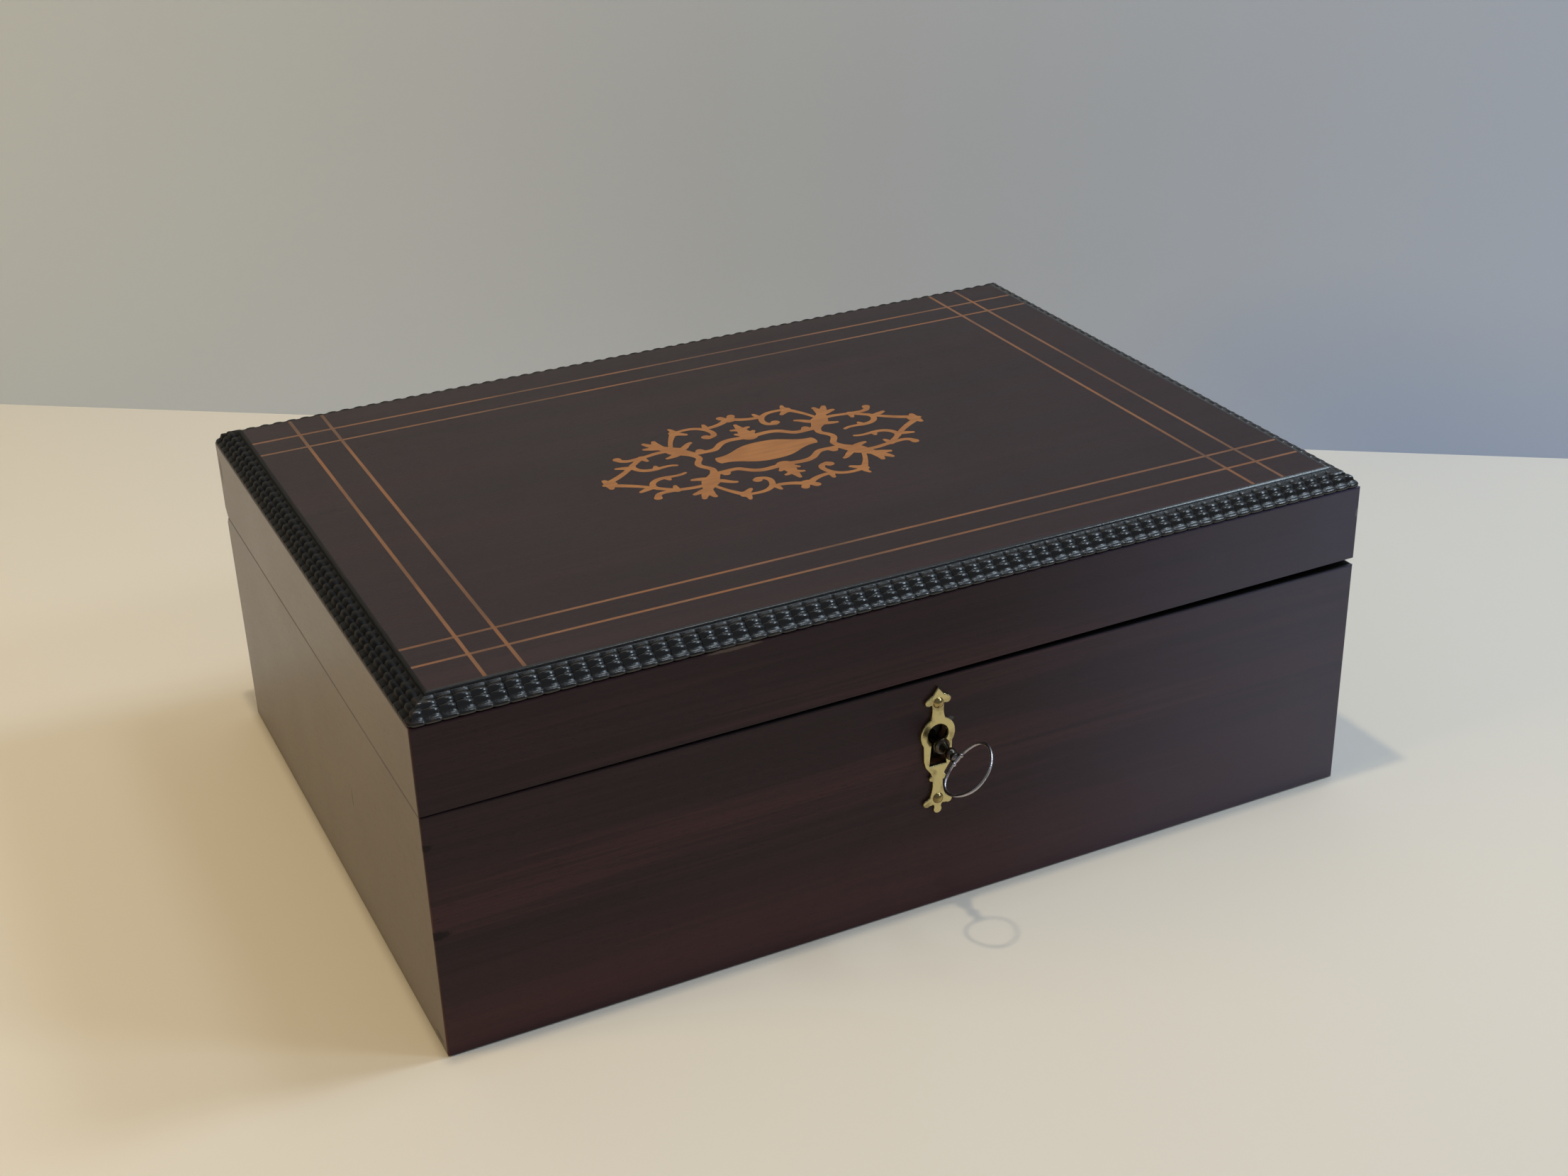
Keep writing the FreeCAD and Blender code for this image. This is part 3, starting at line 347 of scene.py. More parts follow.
class RosewoodLook(bpy.types.PropertyGroup):
    """Veneer of the base, the lid and the top."""

    dark: colour("Dark", "Black lines of the figure", (0.0105, 0.0058, 0.0068))
    body: colour("Body", "Ground of the wood", (0.0275, 0.0114, 0.0155))
    top: colour("Top", "Ground of the faded top", (0.0198, 0.0099, 0.0120))
    red: colour("Red", "Warm flames in the figure", (0.056, 0.0195, 0.0225))
    worn: colour("Worn", "Bare wood at rubbed edges", (0.15, 0.105, 0.08))
    # Painted reflection: a bluish sheen of cool light from the right, painted into the front's colour
    painted_cool_sheen: colour("Cool sheen", "Painted bluish sheen of cool light towards the right", (0.040, 0.037, 0.085))
    # Scuffs painted pale bluish: partly real scuffs, partly a painted highlight of cool light
    scuff_and_glint: colour("Scuff and glint", "Small pale scuffs with a painted bluish highlight", (0.125, 0.130, 0.145))
    # Painted shade: black along the meeting rims, where the gap between lid and base is in shade
    rim: colour("Rim", "Painted shade along the meeting rims", (0.004, 0.0033, 0.0042))
    streak: length("Streak", "Width of a streak", 3.2 * MM)
    arris: length("Arris", "Rounding of the rubbed edges", 0.45 * MM)


class BoxwoodLook(bpy.types.PropertyGroup):
    """Stringing and marquetry."""

    pale: colour("Pale", "Light boxwood", (0.345, 0.143, 0.040))
    shade: colour("Shade", "Darker grain", (0.24, 0.090, 0.027))
    line: colour("Line", "Stringing", (0.185, 0.087, 0.043))
    grime: colour("Grime", "Dark polish over the lines", (0.045, 0.026, 0.020))


class EbonisedLook(bpy.types.PropertyGroup):
    """Ripple mouldings round the lid."""

    black: colour("Black", "Stained wood", (0.0026, 0.0025, 0.0030))
    dust: colour("Dust", "Wax and dust in the grooves", (0.009, 0.008, 0.007))
    # The crests are rubbed brown, and browner to the left as a painted warm highlight
    rubbed: colour("Rubbed", "Stain rubbed off the crests, with a painted warm highlight to the left", (0.030, 0.018, 0.012))
    # Painted highlight: a bluish line of cool light along the fillet towards the right front
    fillet_highlight: colour("Fillet highlight", "Painted bluish highlight on the fillet towards the right", (0.115, 0.140, 0.160))
    pitch: length("Pitch", "Length of one ripple", 4.24 * MM)
    depth: length("Depth", "Depth of the grooves between ripples", 0.75 * MM)
    seed: IntProperty(name="Seed", description="Small unevenness of the ripples", default=11)


class MetalLook(bpy.types.PropertyGroup):
    """Escutcheon, key, hinges and lock."""

    brass: colour("Brass", "Polished brass", (0.58, 0.50, 0.245))
    pin: colour("Pins", "Old brass of the pins", (0.38, 0.285, 0.12))
    dull: colour("Dull brass", "Hinges and lock plate", (0.50, 0.37, 0.17))
    tarnish: colour("Tarnish", "Old dirt on brass", (0.13, 0.095, 0.04))
    steel: colour("Steel", "Works of the lock", (0.36, 0.35, 0.335))
    iron: colour("Iron", "Rubbed bow of the key", (0.46, 0.43, 0.45))
    patina: colour("Patina", "Stem of the key", (0.105, 0.105, 0.085))
    rust: colour("Rust", "Brown skin of the key", (0.060, 0.030, 0.018))


class KeySizes(bpy.types.PropertyGroup):
    """Shape of the key outside the lock."""

    ball: length("Ball", "Radius of the turned ball", 1.72 * MM)
    wire: length("Wire", "Radius of the bow's wire", 0.44 * MM)
    bow_half_width: length("Bow half width", "Half the width of the bow", 8.1 * MM)


class InsideLook(bpy.types.PropertyGroup):
    """Carcase wood and lining paper."""

    wood: colour("Wood", "Carcase boards", (0.30, 0.165, 0.080))
    wood_grain: colour("Wood grain", "Darker grain of the boards", (0.155, 0.076, 0.034))
    # Painted shade: the boards' meeting rims are black, as the gap between lid and base is in shade
    rim: colour("Rim", "Painted shade on the meeting rims", (0.004, 0.0033, 0.0042))
    paper: colour("Paper", "Lining", (0.135, 0.030, 0.030))
    faded: colour("Faded", "Rubbed lining", (0.23, 0.085, 0.075))


class StageLook(bpy.types.PropertyGroup):
    """Floor, backdrop, lights and camera."""

    floor: colour("Floor", "Pale table", (0.715, 0.67, 0.61))
    wall: colour("Wall", "Plain backdrop", (0.495, 0.58, 0.77))
    sky: colour("Ambient", "Even light of the room", (0.19, 0.20, 0.215))
    lamp: colour("Lamp", "Warm light overhead", (1.0, 0.83, 0.55))
    lamp_power: power("Lamp power", "Warm light overhead", 2.9)
    fill: colour("Fill", "Neutral light above, to the right", (0.84, 0.94, 1.0))
    fill_power: power("Fill power", "Neutral light above", 1.2)
    window: colour("Window", "Cool soft light from the right", (0.72, 0.87, 1.0))
    window_power: power("Window power", "Cool light from the right", 5.4)
    front_power: power("Front power", "Cool light from the front", 2.6)
    glow: colour("Glow", "Warm soft light from the left", (1.0, 0.685, 0.20))
    glow_power: power("Glow power", "Warm light", 5.2)
    camera_place: FloatVectorProperty(
        name="Camera", description="Where the camera stands", default=(-0.2461, -0.5296, 0.3506),
        subtype="TRANSLATION")
    camera_aim: FloatVectorProperty(
        name="Aim", description="Point that the camera looks at", default=(-0.0167, -0.0461, 0.0794),
        subtype="TRANSLATION")
    camera_roll: FloatProperty(
        name="Roll", description="Tilt of the camera", default=math.radians(-1.772), subtype="ANGLE")
    camera_lens: FloatProperty(name="Lens", description="Focal length in millimetres", default=49.43)


class BoxSettings(bpy.types.PropertyGroup):
    """All the sizes and colours of the box."""

    rosewood: PointerProperty(type=RosewoodLook)
    boxwood: PointerProperty(type=BoxwoodLook)
    ebonised: PointerProperty(type=EbonisedLook)
    metal: PointerProperty(type=MetalLook)
    key: PointerProperty(type=KeySizes)
    inside: PointerProperty(type=InsideLook)
    stage: PointerProperty(type=StageLook)


# Finishes, with the sizes of their marks, painted rim shade, painted fillet highlight and relief

SMUDGE = 35 * MM
WAVES = (24 * MM, 60 * MM)
# Painted shade along the veneers' meeting rim
VENEER_GAP_SHADE = (0.20 * MM, 0.06 * MM)
VENEER_RELIEF = 0.035 * MM
# Painted shade along the boards' meeting rims
BOARD_GAP_SHADE = (3.6 * MM, 2.9 * MM)
BOARD_RELIEF = 0.06 * MM
PAPER_RELIEF = 0.05 * MM
INLAY_RELIEF = 0.03 * MM
STAIN_RELIEF = 0.03 * MM
BRASS_RELIEF = 0.035 * MM
IRON_RELIEF = 0.03 * MM
STEEL_RELIEF = 0.02 * MM
BOW_START = (9.0 * MM, 10.4 * MM)
# Where the painted fillet highlight lies, measured from the front
FILLET_HIGHLIGHT_DEPTH = (front_y + 9 * MM, front_y + 8 * MM)
FILLET_CRESTS = (1.2, 1.6)


def rosewood(name, look, along, seed, figure, warmth, body, marks=(), redness=None, polish=0.0):
    """Rosewood with a streaked figure and open pores; a mark is (centre, radii, colour, strength).

    Figure is the contrast of the dark lines and warmth that of the red flames. Where redness is
    given, it adds red to the flames, thickens the coat towards the right and paints a bluish
    reflection of cool light there. Along the meeting rim, shade is painted in black.
    """
    shader = Shader(name, Specular_IOR_Level=0.22, Coat_Roughness=0.30, Coat_Weight=polish)
    streak = look.streak
    bands = shader.grain(along, streak * 5, streak * 90, seed, 2.0, 0.3)
    lines = shader.grain(along, streak, streak * 45, seed + 1, 3.0, 0.6)
    fine = shader.grain(along, streak * 0.22, streak * 16, seed + 2, 2.0)
    pores = shader.step(shader.grain(along, streak * 0.06, streak * 1.1, seed + 3, 1.0), 0.60, 0.72)
    flames = shader.step(bands * 0.6 + lines * 0.4, 0.42, 0.68)
    if redness is not None:
        reddened = redness(shader)
        flames = shader.step(flames + reddened * 0.6, 0.1, 1.1)
        rightwards = shader.step(shader.axis(X), 0.0, right_x)
        shader.feed("Coat Weight", rightwards * 0.6)
    depth = 1 - figure + shader.step(lines * 0.65 + fine * 0.35, 0.36, 0.60) * figure
    ground = shader.mix(depth, look.dark, body)
    tone = shader.mix(flames * fine * warmth, ground, look.red)
    tone = shader.mix(pores * 0.65, tone, look.dark)
    smudge = shader.noise([SMUDGE] * 3, seed + 4, 3.0)
    gloss = 0.31 + smudge * 0.12 + pores * 0.10
    height = fine * 0.25 - pores * 0.7
    if redness is not None:
        tone = shader.mix(shader.step(reddened, 0.15, 0.5) * 0.6, tone, look.red)
        # Painted reflection: a bluish sheen of cool light, stronger towards the right
        tone = shader.mix(rightwards * (0.35 + smudge * 0.5), tone, look.painted_cool_sheen)
    # Painted shade: the meeting rim is painted black where the gap between lid and base is shaded,
    # fading out towards the left end
    rim = shader.step(abs(shader.axis(Z) - base_rim), *VENEER_GAP_SHADE)
    rim = rim * shader.step(shader.axis(X), 0.75 * left_x, 0.25 * left_x)
    tone = shader.mix(rim, tone, look.rim)
    gloss = gloss + rim * 0.4
    for centre, radii, tint, strength in marks:
        mask = shader.spot(centre, radii) * strength
        tone = shader.mix(mask, tone, tint)
        gloss = gloss + mask * 0.3
        height = height - mask * 1.5
    waves = shader.grain(along, *WAVES, seed + 6, 1.0)
    shader.feed("Base Color", tone)
    shader.feed("Roughness", gloss)
    shader.bump(height + waves * 0.6, VENEER_RELIEF)
    return shader.material


def boxwood(name, look, along, seed, pale, covered=0.0):
    """Pale close-grained inlay with darker flecks; old polish has covered a share of it."""
    shader = Shader(name, Specular_IOR_Level=0.4)
    streaks = shader.grain(along, 0.9 * MM, 14 * MM, seed, 3.0, 0.4)
    flecks = shader.grain(along, 0.35 * MM, 5 * MM, seed + 1, 2.0)
    patches = shader.noise([9 * MM] * 3, seed + 2, 2.0)
    tone = shader.mix(shader.step(streaks, 0.40, 0.72) * 0.75, pale, look.shade)
    tone = shader.mix(shader.step(patches, 0.42, 0.75) * 0.45, tone, look.shade)
    tone = shader.mix(shader.step(flecks, 0.62, 0.74) * 0.6, tone, look.shade)
    veil = shader.step(shader.noise([38 * MM] * 3, seed + 3, 3.0), 0.42, 0.66)
    tone = shader.mix(veil * covered, tone, look.grime)
    shader.feed("Base Color", tone)
    shader.feed("Roughness", 0.30 + patches * 0.14)
    shader.bump(streaks * 0.5 + flecks * 0.3, INLAY_RELIEF)
    return shader.material


def ebonised(name, look, shine, roughness):
    """Black stained wood, rubbed brown on the crests and dusty in the grooves, with painted highlights:
    warm brown on the crests to the left, bluish along the fillet to the right front.
    """
    shader = Shader(name, Specular_IOR_Level=shine)
    crest = shader.node("ShaderNodeAttribute", {"attribute_name": "crest"}, None, "Fac")
    fillet = shader.step(crest, *FILLET_CRESTS)
    patches = shader.noise([11 * MM, 11 * MM, 4 * MM], 2.0, 3.0)
    specks = shader.noise([0.5 * MM] * 3, 3.0, 3.0)
    rubbed = shader.step(crest, 0.80, 1.0) * shader.step(patches, 0.45, 0.70) * (1 - fillet)
    dusty = shader.step(crest, 0.45, 0.05) * shader.step(specks, 0.35, 0.65)
    # Painted warm highlight: more brown on the crests towards the left
    warm_highlight_leftwards = shader.step(shader.axis(X), 0.1 * right_x, left_x)
    tone = shader.mix(rubbed * (0.55 + warm_highlight_leftwards * 0.4), look.black, look.rubbed)
    tone = shader.mix(dusty * 0.7, tone, look.dust)
    # Painted highlight: a bluish line along the front fillet towards the right
    in_front = shader.step(shader.axis(Y), *FILLET_HIGHLIGHT_DEPTH)
    painted_fillet_highlight = fillet * in_front * shader.step(shader.axis(X), 0.4 * right_x, 0.85 * right_x)
    tone = shader.mix(painted_fillet_highlight * shader.step(specks, 0.25, 0.55), tone, look.fillet_highlight)
    shader.feed("Base Color", tone)
    shader.feed("Roughness", roughness + patches * 0.08 + dusty * 0.35)
    shader.bump(specks, STAIN_RELIEF)
    return shader.material


def brass(name, base, tarnish, roughness, wear):
    """Cast brass with tarnish in patches and fine rubbing marks."""
    shader = Shader(name, Metallic=1.0)
    patches = shader.noise([2.6 * MM] * 3, 1.0, 4.0)
    rubbing = shader.grain(Z, 0.12 * MM, 3.0 * MM, 2.0, 2.0)
    casting = shader.noise([0.8 * MM] * 3, 3.0, 2.0)
    dull = shader.step(patches, 0.46, 0.80) * wear
    shader.feed("Base Color", shader.mix(dull, base, tarnish))
    shader.feed("Roughness", roughness + dull * 0.28 + rubbing * 0.08)
    shader.bump(casting * 0.7 + rubbing * 0.15, BRASS_RELIEF)
    return shader.material


def iron(name, look):
    """Old key iron: worn bright in places under a brown skin."""
    shader = Shader(name, Metallic=1.0)
    patches = shader.noise([2.2 * MM] * 3, 4.0, 4.0)
    pits = shader.noise([0.3 * MM] * 3, 5.0, 2.0)
    wire = shader.step(key_axis.y - shader.axis(Y), *BOW_START)
    skin = shader.step(patches + wire * 0.14, 0.62, 0.38)
    tone = shader.mix(wire, look.patina, look.iron)
    shader.feed("Base Color", shader.mix(skin * (0.85 - wire * 0.25), tone, look.rust))
    shader.feed("Roughness", 0.15 + skin * 0.08 + pits * 0.10 + wire * 0.06)
    shader.bump(pits, IRON_RELIEF)
    return shader.material


def steel(name, look):
    """Filed steel with a little rust."""
    shader = Shader(name, Metallic=1.0)
    filing = shader.grain(X, 0.1 * MM, 4.0 * MM, 6.0, 2.0)
    patches = shader.noise([3.0 * MM] * 3, 7.0, 4.0)
    rusty = shader.step(patches, 0.56, 0.74)
    shader.feed("Base Color", shader.mix(rusty * 0.7, look.steel, look.rust))
    shader.feed("Roughness", 0.30 + filing * 0.14 + rusty * 0.3)
    shader.bump(filing * 0.4, STEEL_RELIEF)
    return shader.material


def carcase(name, look, along, seed):
    """Plain sawn and planed wood of the boards."""
    shader = Shader(name, Specular_IOR_Level=0.12)
    rings = shader.grain(along, 3.5 * MM, 120 * MM, seed, 3.0, 0.5)
    fibres = shader.grain(along, 0.35 * MM, 12 * MM, seed + 1, 2.0)
    grime = shader.noise([22 * MM] * 3, seed + 2, 3.0)
    tone = shader.mix(shader.step(rings, 0.38, 0.66), look.wood, look.wood_grain)
    tone = shader.mix(shader.step(fibres, 0.50, 0.72) * 0.5, tone, look.wood_grain)
    tone = shader.mix(shader.step(grime, 0.45, 0.75) * 0.35, tone, look.wood_grain)
    # Painted shade: the boards are black near the meeting rims, where the gap between lid and base is
    # shaded
    rim = shader.step(abs(shader.axis(Z) - base_rim), *BOARD_GAP_SHADE)
    tone = shader.mix(rim, tone, look.rim)
    shader.feed("Base Color", tone)
    shader.feed("Roughness", 0.55 + fibres * 0.15 + rim * 0.2)
    shader.bump(fibres * 0.7 + rings * 0.5, BOARD_RELIEF)
    return shader.material


def lining_paper(name, look):
    """Coloured paper: mottled fibres, faded patches."""
    shader = Shader(name, Specular_IOR_Level=0.2)
    fibres = shader.noise([0.45 * MM] * 3, 1.0, 4.0, 1.2)
    mottle = shader.noise([7 * MM] * 3, 2.0, 4.0)
    fading = shader.noise([45 * MM] * 3, 3.0, 3.0)
    tone = shader.mix(shader.step(fading, 0.42, 0.72) * 0.55, look.paper, look.faded)
    tone = shader.mix(shader.step(fibres * 0.6 + mottle * 0.4, 0.48, 0.66) * 0.35, tone, look.faded)
    shader.feed("Base Color", tone)
    shader.feed("Roughness", 0.72 + fibres * 0.2)
    shader.bump(fibres * 0.6 + mottle * 1.2, PAPER_RELIEF)
    return shader.material


# Operators, one for each group of like pieces

class VeneerOperator(bpy.types.Operator):
    """Finish the rosewood veneers of the base, the lid and the top"""

    bl_idname = "inlaid_box.veneers"
    bl_label = "Rosewood veneers"

    LID_SEAM = 4.0 * MM

    def execute(self, context):
        look = context.scene.inlaid_box.rosewood
        black = look.dark
        front_marks = [
            ((left_x + 1.2 * MM, front_y, 37 * MM), (3.6 * MM, 2 * MM, 1.5 * MM), black, 0.9),
            ((left_x + 0.4 * MM, front_y, 63 * MM), (2.4 * MM, 2 * MM, 1.1 * MM), black, 0.9),
            ((-56 * MM, front_y, moulding_low.z - 0.4 * MM), (9 * MM, 2 * MM, 0.6 * MM), look.worn, 0.6),
            # These two pale bluish marks are partly real scuffs and partly a painted highlight
            ((6.2 * MM, front_y, 58 * MM), (1.3 * MM, 2 * MM, 1.0 * MM), look.scuff_and_glint, 0.5),
            ((right_x - 0.5 * MM, front_y, 88 * MM), (0.7 * MM, 2 * MM, 1.6 * MM), look.scuff_and_glint, 0.9),
        ]
        left_marks = [
            ((left_x, 95.6 * MM, 88 * MM), (2 * MM, 1.3 * MM, 5 * MM), black, 0.9),
            ((left_x, -28 * MM, 38 * MM), (2 * MM, 0.7 * MM, 3.4 * MM), black, 0.8),
            ((left_x, -93 * MM, 2.5 * MM), (2 * MM, 4 * MM, 1 * MM), black, 0.8),
        ]
        finishes = {
            "front": rosewood(
                "rosewood_front", look, X, 2.0, figure=0.5, warmth=1.4, body=look.body,
                marks=front_marks, redness=self.redder_below),
            "back": rosewood("rosewood_back", look, X, 9.0, figure=0.6, warmth=0.8, body=look.body),
            "left": rosewood(
                "rosewood_left", look, Y, 4.0, figure=0.45, warmth=0.5, body=look.body,
                marks=left_marks, polish=0.65),
            "right": rosewood(
                "rosewood_right", look, Y, 6.0, figure=0.6, warmth=0.8, body=look.body, polish=0.35),
        }
        for body in ("base", "lid"):
            for side in SIDES:
                node = f"{body}_{side}_veneer"
                mesh_data = eased(node, look.arris, self.outer_rim)
                piece_from(node + "_polished", mesh_data, finishes[side], body, [node])
        top = rosewood(
            "rosewood_top", look, X, 13.0, figure=0.28, warmth=0.35, body=look.top, polish=0.1)
        paint(["top_veneer"], top)
        return {"FINISHED"}

    @staticmethod
    def redder_below(shader):
        """The front reddens towards its lower edge and its right end."""
        height = shader.axis(Z) * (1 / base_rim)
        across = shader.axis(X) * (0.5 / right_x)
        return 0.62 - height * 0.9 + across * 0.1

    def outer_rim(self, middle, direction):
        """Upright corners and level edges in an outer face, but not the lid's crisp lower edge."""
        lengthwise = abs(middle.y) > -front_y - NEAR
        endwise = abs(middle.x) > right_x - NEAR
        if abs(direction.z) > 0.5:
            return lengthwise and endwise
        lid_seam = base_rim < middle.z < base_rim + self.LID_SEAM
        return (lengthwise or endwise) and not lid_seam


class InlayOperator(bpy.types.Operator):
    """Finish the boxwood stringing and marquetry"""

    bl_idname = "inlaid_box.inlay"
    bl_label = "Boxwood inlay"

    def execute(self, context):
        look = context.scene.inlaid_box.boxwood
        paint(["front_back_stringing"], boxwood("boxwood_line_x", look, X, 1.0, look.line, 0.6))
        paint(["side_stringing"], boxwood("boxwood_line_y", look, Y, 3.0, look.line, 0.6))
        paint(["marquetry_scrolls"], boxwood("boxwood_scrolls", look, X, 5.0, look.pale))
        paint(["marquetry_cartouche"], boxwood("boxwood_cartouche", look, X, 8.0, look.pale))
        return {"FINISHED"}


class MouldingOperator(bpy.types.Operator):
    """Build the four mitred lengths of ripple moulding"""

    bl_idname = "inlaid_box.mouldings"
    bl_label = "Ripple mouldings"

    STATIONS = (0.0, 0.05, 0.13, 0.28, 0.5, 0.72, 0.87, 0.95)
    REED_STEPS = 24
    BEAD_STEPS = 8
    FILLET_STEPS = 5
    FILLET = 1.1 * MM
    FILLET_EASE = 0.55 * MM
    FILLET_DIP = 0.15
    FILLET_CREST = 2.0
    STEP = 0.65 * MM
    QUIRK = 0.25 * MM
    QUIRK_DROP = 0.1 * MM
    REED_START = 0.17
    REED_SHARE = 0.36
    REED_RISE = 0.55 * MM
    SWELL = 0.45 * MM
    BEAD = 1.3 * MM
    BEAD_PINCH = 0.40
    CORNER = 2.0 * MM
    FADE = 3.0 * MM
    FULLNESS = 0.68
    DEPTHS = (0.86, 1.0)
    FLATS = (0.0, 0.10)
    SLIPS = (-0.03, 0.03)

    def execute(self, context):
        look = context.scene.inlaid_box.ebonised
        glossy = ebonised("ebonised_glossy", look, 0.7, 0.16)
        dull = ebonised("ebonised_dull", look, 0.22, 0.42)
        finishes = {"front": glossy, "right": glossy, "back": dull, "left": dull}
        half_width = moulding_high.x
        half_depth = -moulding_low.y
        for index, side in enumerate(("front", "right", "back", "left")):
            half_length, reach = half_depth, half_width
            if side in LENGTHWISE:
                half_length, reach = half_width, half_depth
            chance = random.Random(look.seed + index)
            work = self.strip(look, half_length, reach, chance)
            turn = Matrix.Rotation(math.radians(90 * index), 4, "Z")
            bmesh.ops.transform(work, matrix=turn, verts=work.verts)
            node = "moulding_" + side
            mesh_data = mesh_of(work, "ripple_" + node)
            piece_from("ripple_" + node, mesh_data, finishes[side], "lid", [node])
        return {"FINISHED"}

    def section(self, groove, depth):
        """Points (inset, height, crest) round the moulding; groove is 0 on a crest and 1 between."""
        wide = moulding_high.y - moulding_low.y
        tall = moulding_high.z - moulding_low.z
        shoulder = tall - self.STEP
        fillet = wide - self.FILLET
        points = [(wide, 0.0, 0.5), (wide, tall, 0.5)]
        for step in range(self.FILLET_STEPS + 1):
            angle = math.pi / 2 * step / self.FILLET_STEPS
            inset = fillet + self.FILLET_EASE * (1 - math.sin(angle))
            drop = self.FILLET_EASE * (1 - math.cos(angle))
            height = tall - drop * (1 - self.FILLET_DIP * groove)
            points.append((inset, height, self.FILLET_CREST))
        points.append((fillet, shoulder, 0.1))
        points.append((fillet - self.QUIRK, shoulder - self.QUIRK_DROP, 0.0))
        upper = Vector((fillet - self.QUIRK, shoulder))
        lower = Vector((self.BEAD / 2 + self.QUIRK, self.BEAD + self.QUIRK / 2))
        chord = upper - lower
        outward = Vector((-chord.y, chord.x)).normalized()
        for step in range(self.REED_STEPS + 1):
            share = step / self.REED_STEPS
            bulge = 4 * share * (1 - share)
            along_reeds = (share - self.REED_START) / self.REED_SHARE
            reed = abs(math.sin(math.pi * along_reeds)) if 0 < along_reeds < 2 else 0.0
            cut = groove * depth * min(1.0, 0.25 + 1.6 * bulge)
            rise = self.SWELL * bulge + self.REED_RISE * reed - cut
            spot = upper.lerp(lower, share) + outward * rise
            points.append((spot.x, spot.y, (1 - groove) * (0.25 + 0.75 * reed)))
        radius = self.BEAD / 2
        pinch = radius * (1 - self.BEAD_PINCH * groove ** 2)
        for step in range(self.BEAD_STEPS + 1):
            angle = math.pi / 2 + math.pi * step / self.BEAD_STEPS
            inset = radius + pinch * math.cos(angle)
            points.append((inset, radius + pinch * math.sin(angle), 1 - groove))
        points.append((radius + self.QUIRK, 0.0, 0.2))
        return points

    def cornered(self, from_end, inset):
        """Distances from the end and from the outer edge of a point, held to a rounded mitre."""
        radius = self.CORNER - inset
        if radius <= 0:
            return max(from_end, inset), inset
        from_end = max(from_end, self.CORNER - radius * math.sqrt(0.5))
        if from_end >= self.CORNER:
            return from_end, inset
        return from_end, self.CORNER - math.sqrt(radius ** 2 - (self.CORNER - from_end) ** 2)

    def strip(self, look, half_length, reach, chance):
        """One length along the front, its grooves square to it and its ends mitred."""
        count = round(2 * half_length / look.pitch)
        pitch = 2 * half_length / count
        work = bmesh.new()
        crest_layer = work.verts.layers.float.new("crest")
        rows = []
        for ripple in range(count):
            depth = look.depth * chance.uniform(*self.DEPTHS)
            flat = chance.uniform(*self.FLATS)
            slip = chance.uniform(*self.SLIPS)
            for station in self.STATIONS:
                swing = math.sin(math.pi * station)
                groove = max(flat, 1 - swing ** self.FULLNESS)
                along = -half_length + (ripple + station + slip * swing) * pitch
                rows.append((along, self.section(groove, depth)))
        rows.append((half_length, self.section(1.0, look.depth)))
        plain = self.section(0.0, look.depth)
        rings = []
        for along, section in rows:
            ring = []
            for smooth, rippled in zip(plain, section):
                from_mitre = half_length - abs(along) - rippled[0]
                share = max(0.0, min(1.0, from_mitre / self.FADE))
                inset, height, crest = Vector(smooth).lerp(Vector(rippled), share)
                from_end, inset = self.cornered(half_length - abs(along), inset)
                across = math.copysign(half_length - from_end, along)
                vertex = work.verts.new((across, inset - reach, moulding_low.z + height))
                vertex[crest_layer] = crest
                ring.append(vertex)
            rings.append(ring)
        skin(work, rings)
        bmesh.ops.remove_doubles(work, verts=work.verts, dist=2 * WELD)
        ends = [edge for edge in work.edges if edge.is_boundary]
        bmesh.ops.holes_fill(work, edges=ends)
        return work


class CarcaseOperator(bpy.types.Operator):
    """Finish the boards of the base and the lid"""

    bl_idname = "inlaid_box.carcase"
    bl_label = "Carcase boards"

    def execute(self, context):
        look = context.scene.inlaid_box.inside
        lengthwise = carcase("carcase_lengthwise", look, X, 1.0)
        sidewise = carcase("carcase_sidewise", look, Y, 5.0)
        for side in SIDES:
            boards = ["base_" + side, "lid_" + side]
            paint(boards, lengthwise if side in LENGTHWISE else sidewise)
        paint(["bottom_board", "lid_top"], carcase("carcase_panels", look, X, 9.0))
        return {"FINISHED"}


class LiningOperator(bpy.types.Operator):
    """Finish the paper lining of the base and the lid"""

    bl_idname = "inlaid_box.lining"
    bl_label = "Paper lining"

    def execute(self, context):
        paper = lining_paper("lining_paper", context.scene.inlaid_box.inside)
        paint(["base_lining", "lid_lining"], paper)
        return {"FINISHED"}


class EscutcheonOperator(bpy.types.Operator):
    """Build the cast escutcheon with softened edges, and finish its pins"""

    bl_idname = "inlaid_box.escutcheon"
    bl_label = "Escutcheon"

    SOFTENING = 0.32 * MM
    SOFTENING_STEPS = 4

    def execute(self, context):
        look = context.scene.inlaid_box.metal
        polished = brass("polished_brass", look.brass, look.tarnish, 0.16, 0.55)
        mesh_data = eased("escutcheon", self.SOFTENING, self.front_edge, self.SOFTENING_STEPS)
        piece_from("escutcheon_cast", mesh_data, polished, "base", ["escutcheon"])
        paint(["escutcheon_pins"], brass("pin_brass", look.pin, look.tarnish, 0.15, 0.8))
        return {"FINISHED"}

    @staticmethod
    def front_edge(middle, direction):
        """Edges that lie in the front face."""
        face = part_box("escutcheon")[0].y
        return abs(middle.y - face) < NEAR and abs(direction.y) < 0.5


class HingeOperator(bpy.types.Operator):
    """Finish the two butt hinges, their pins and screws"""

    bl_idname = "inlaid_box.hinges"
    bl_label = "Butt hinges"

    def execute(self, context):
        look = context.scene.inlaid_box.metal
        dull = brass("hinge_brass", look.dull, look.tarnish, 0.26, 0.8)
        paint(HINGE_LEAVES + HINGE_SCREWS, dull)
        paint(HINGE_PINS, steel("hinge_steel", look))
        return {"FINISHED"}


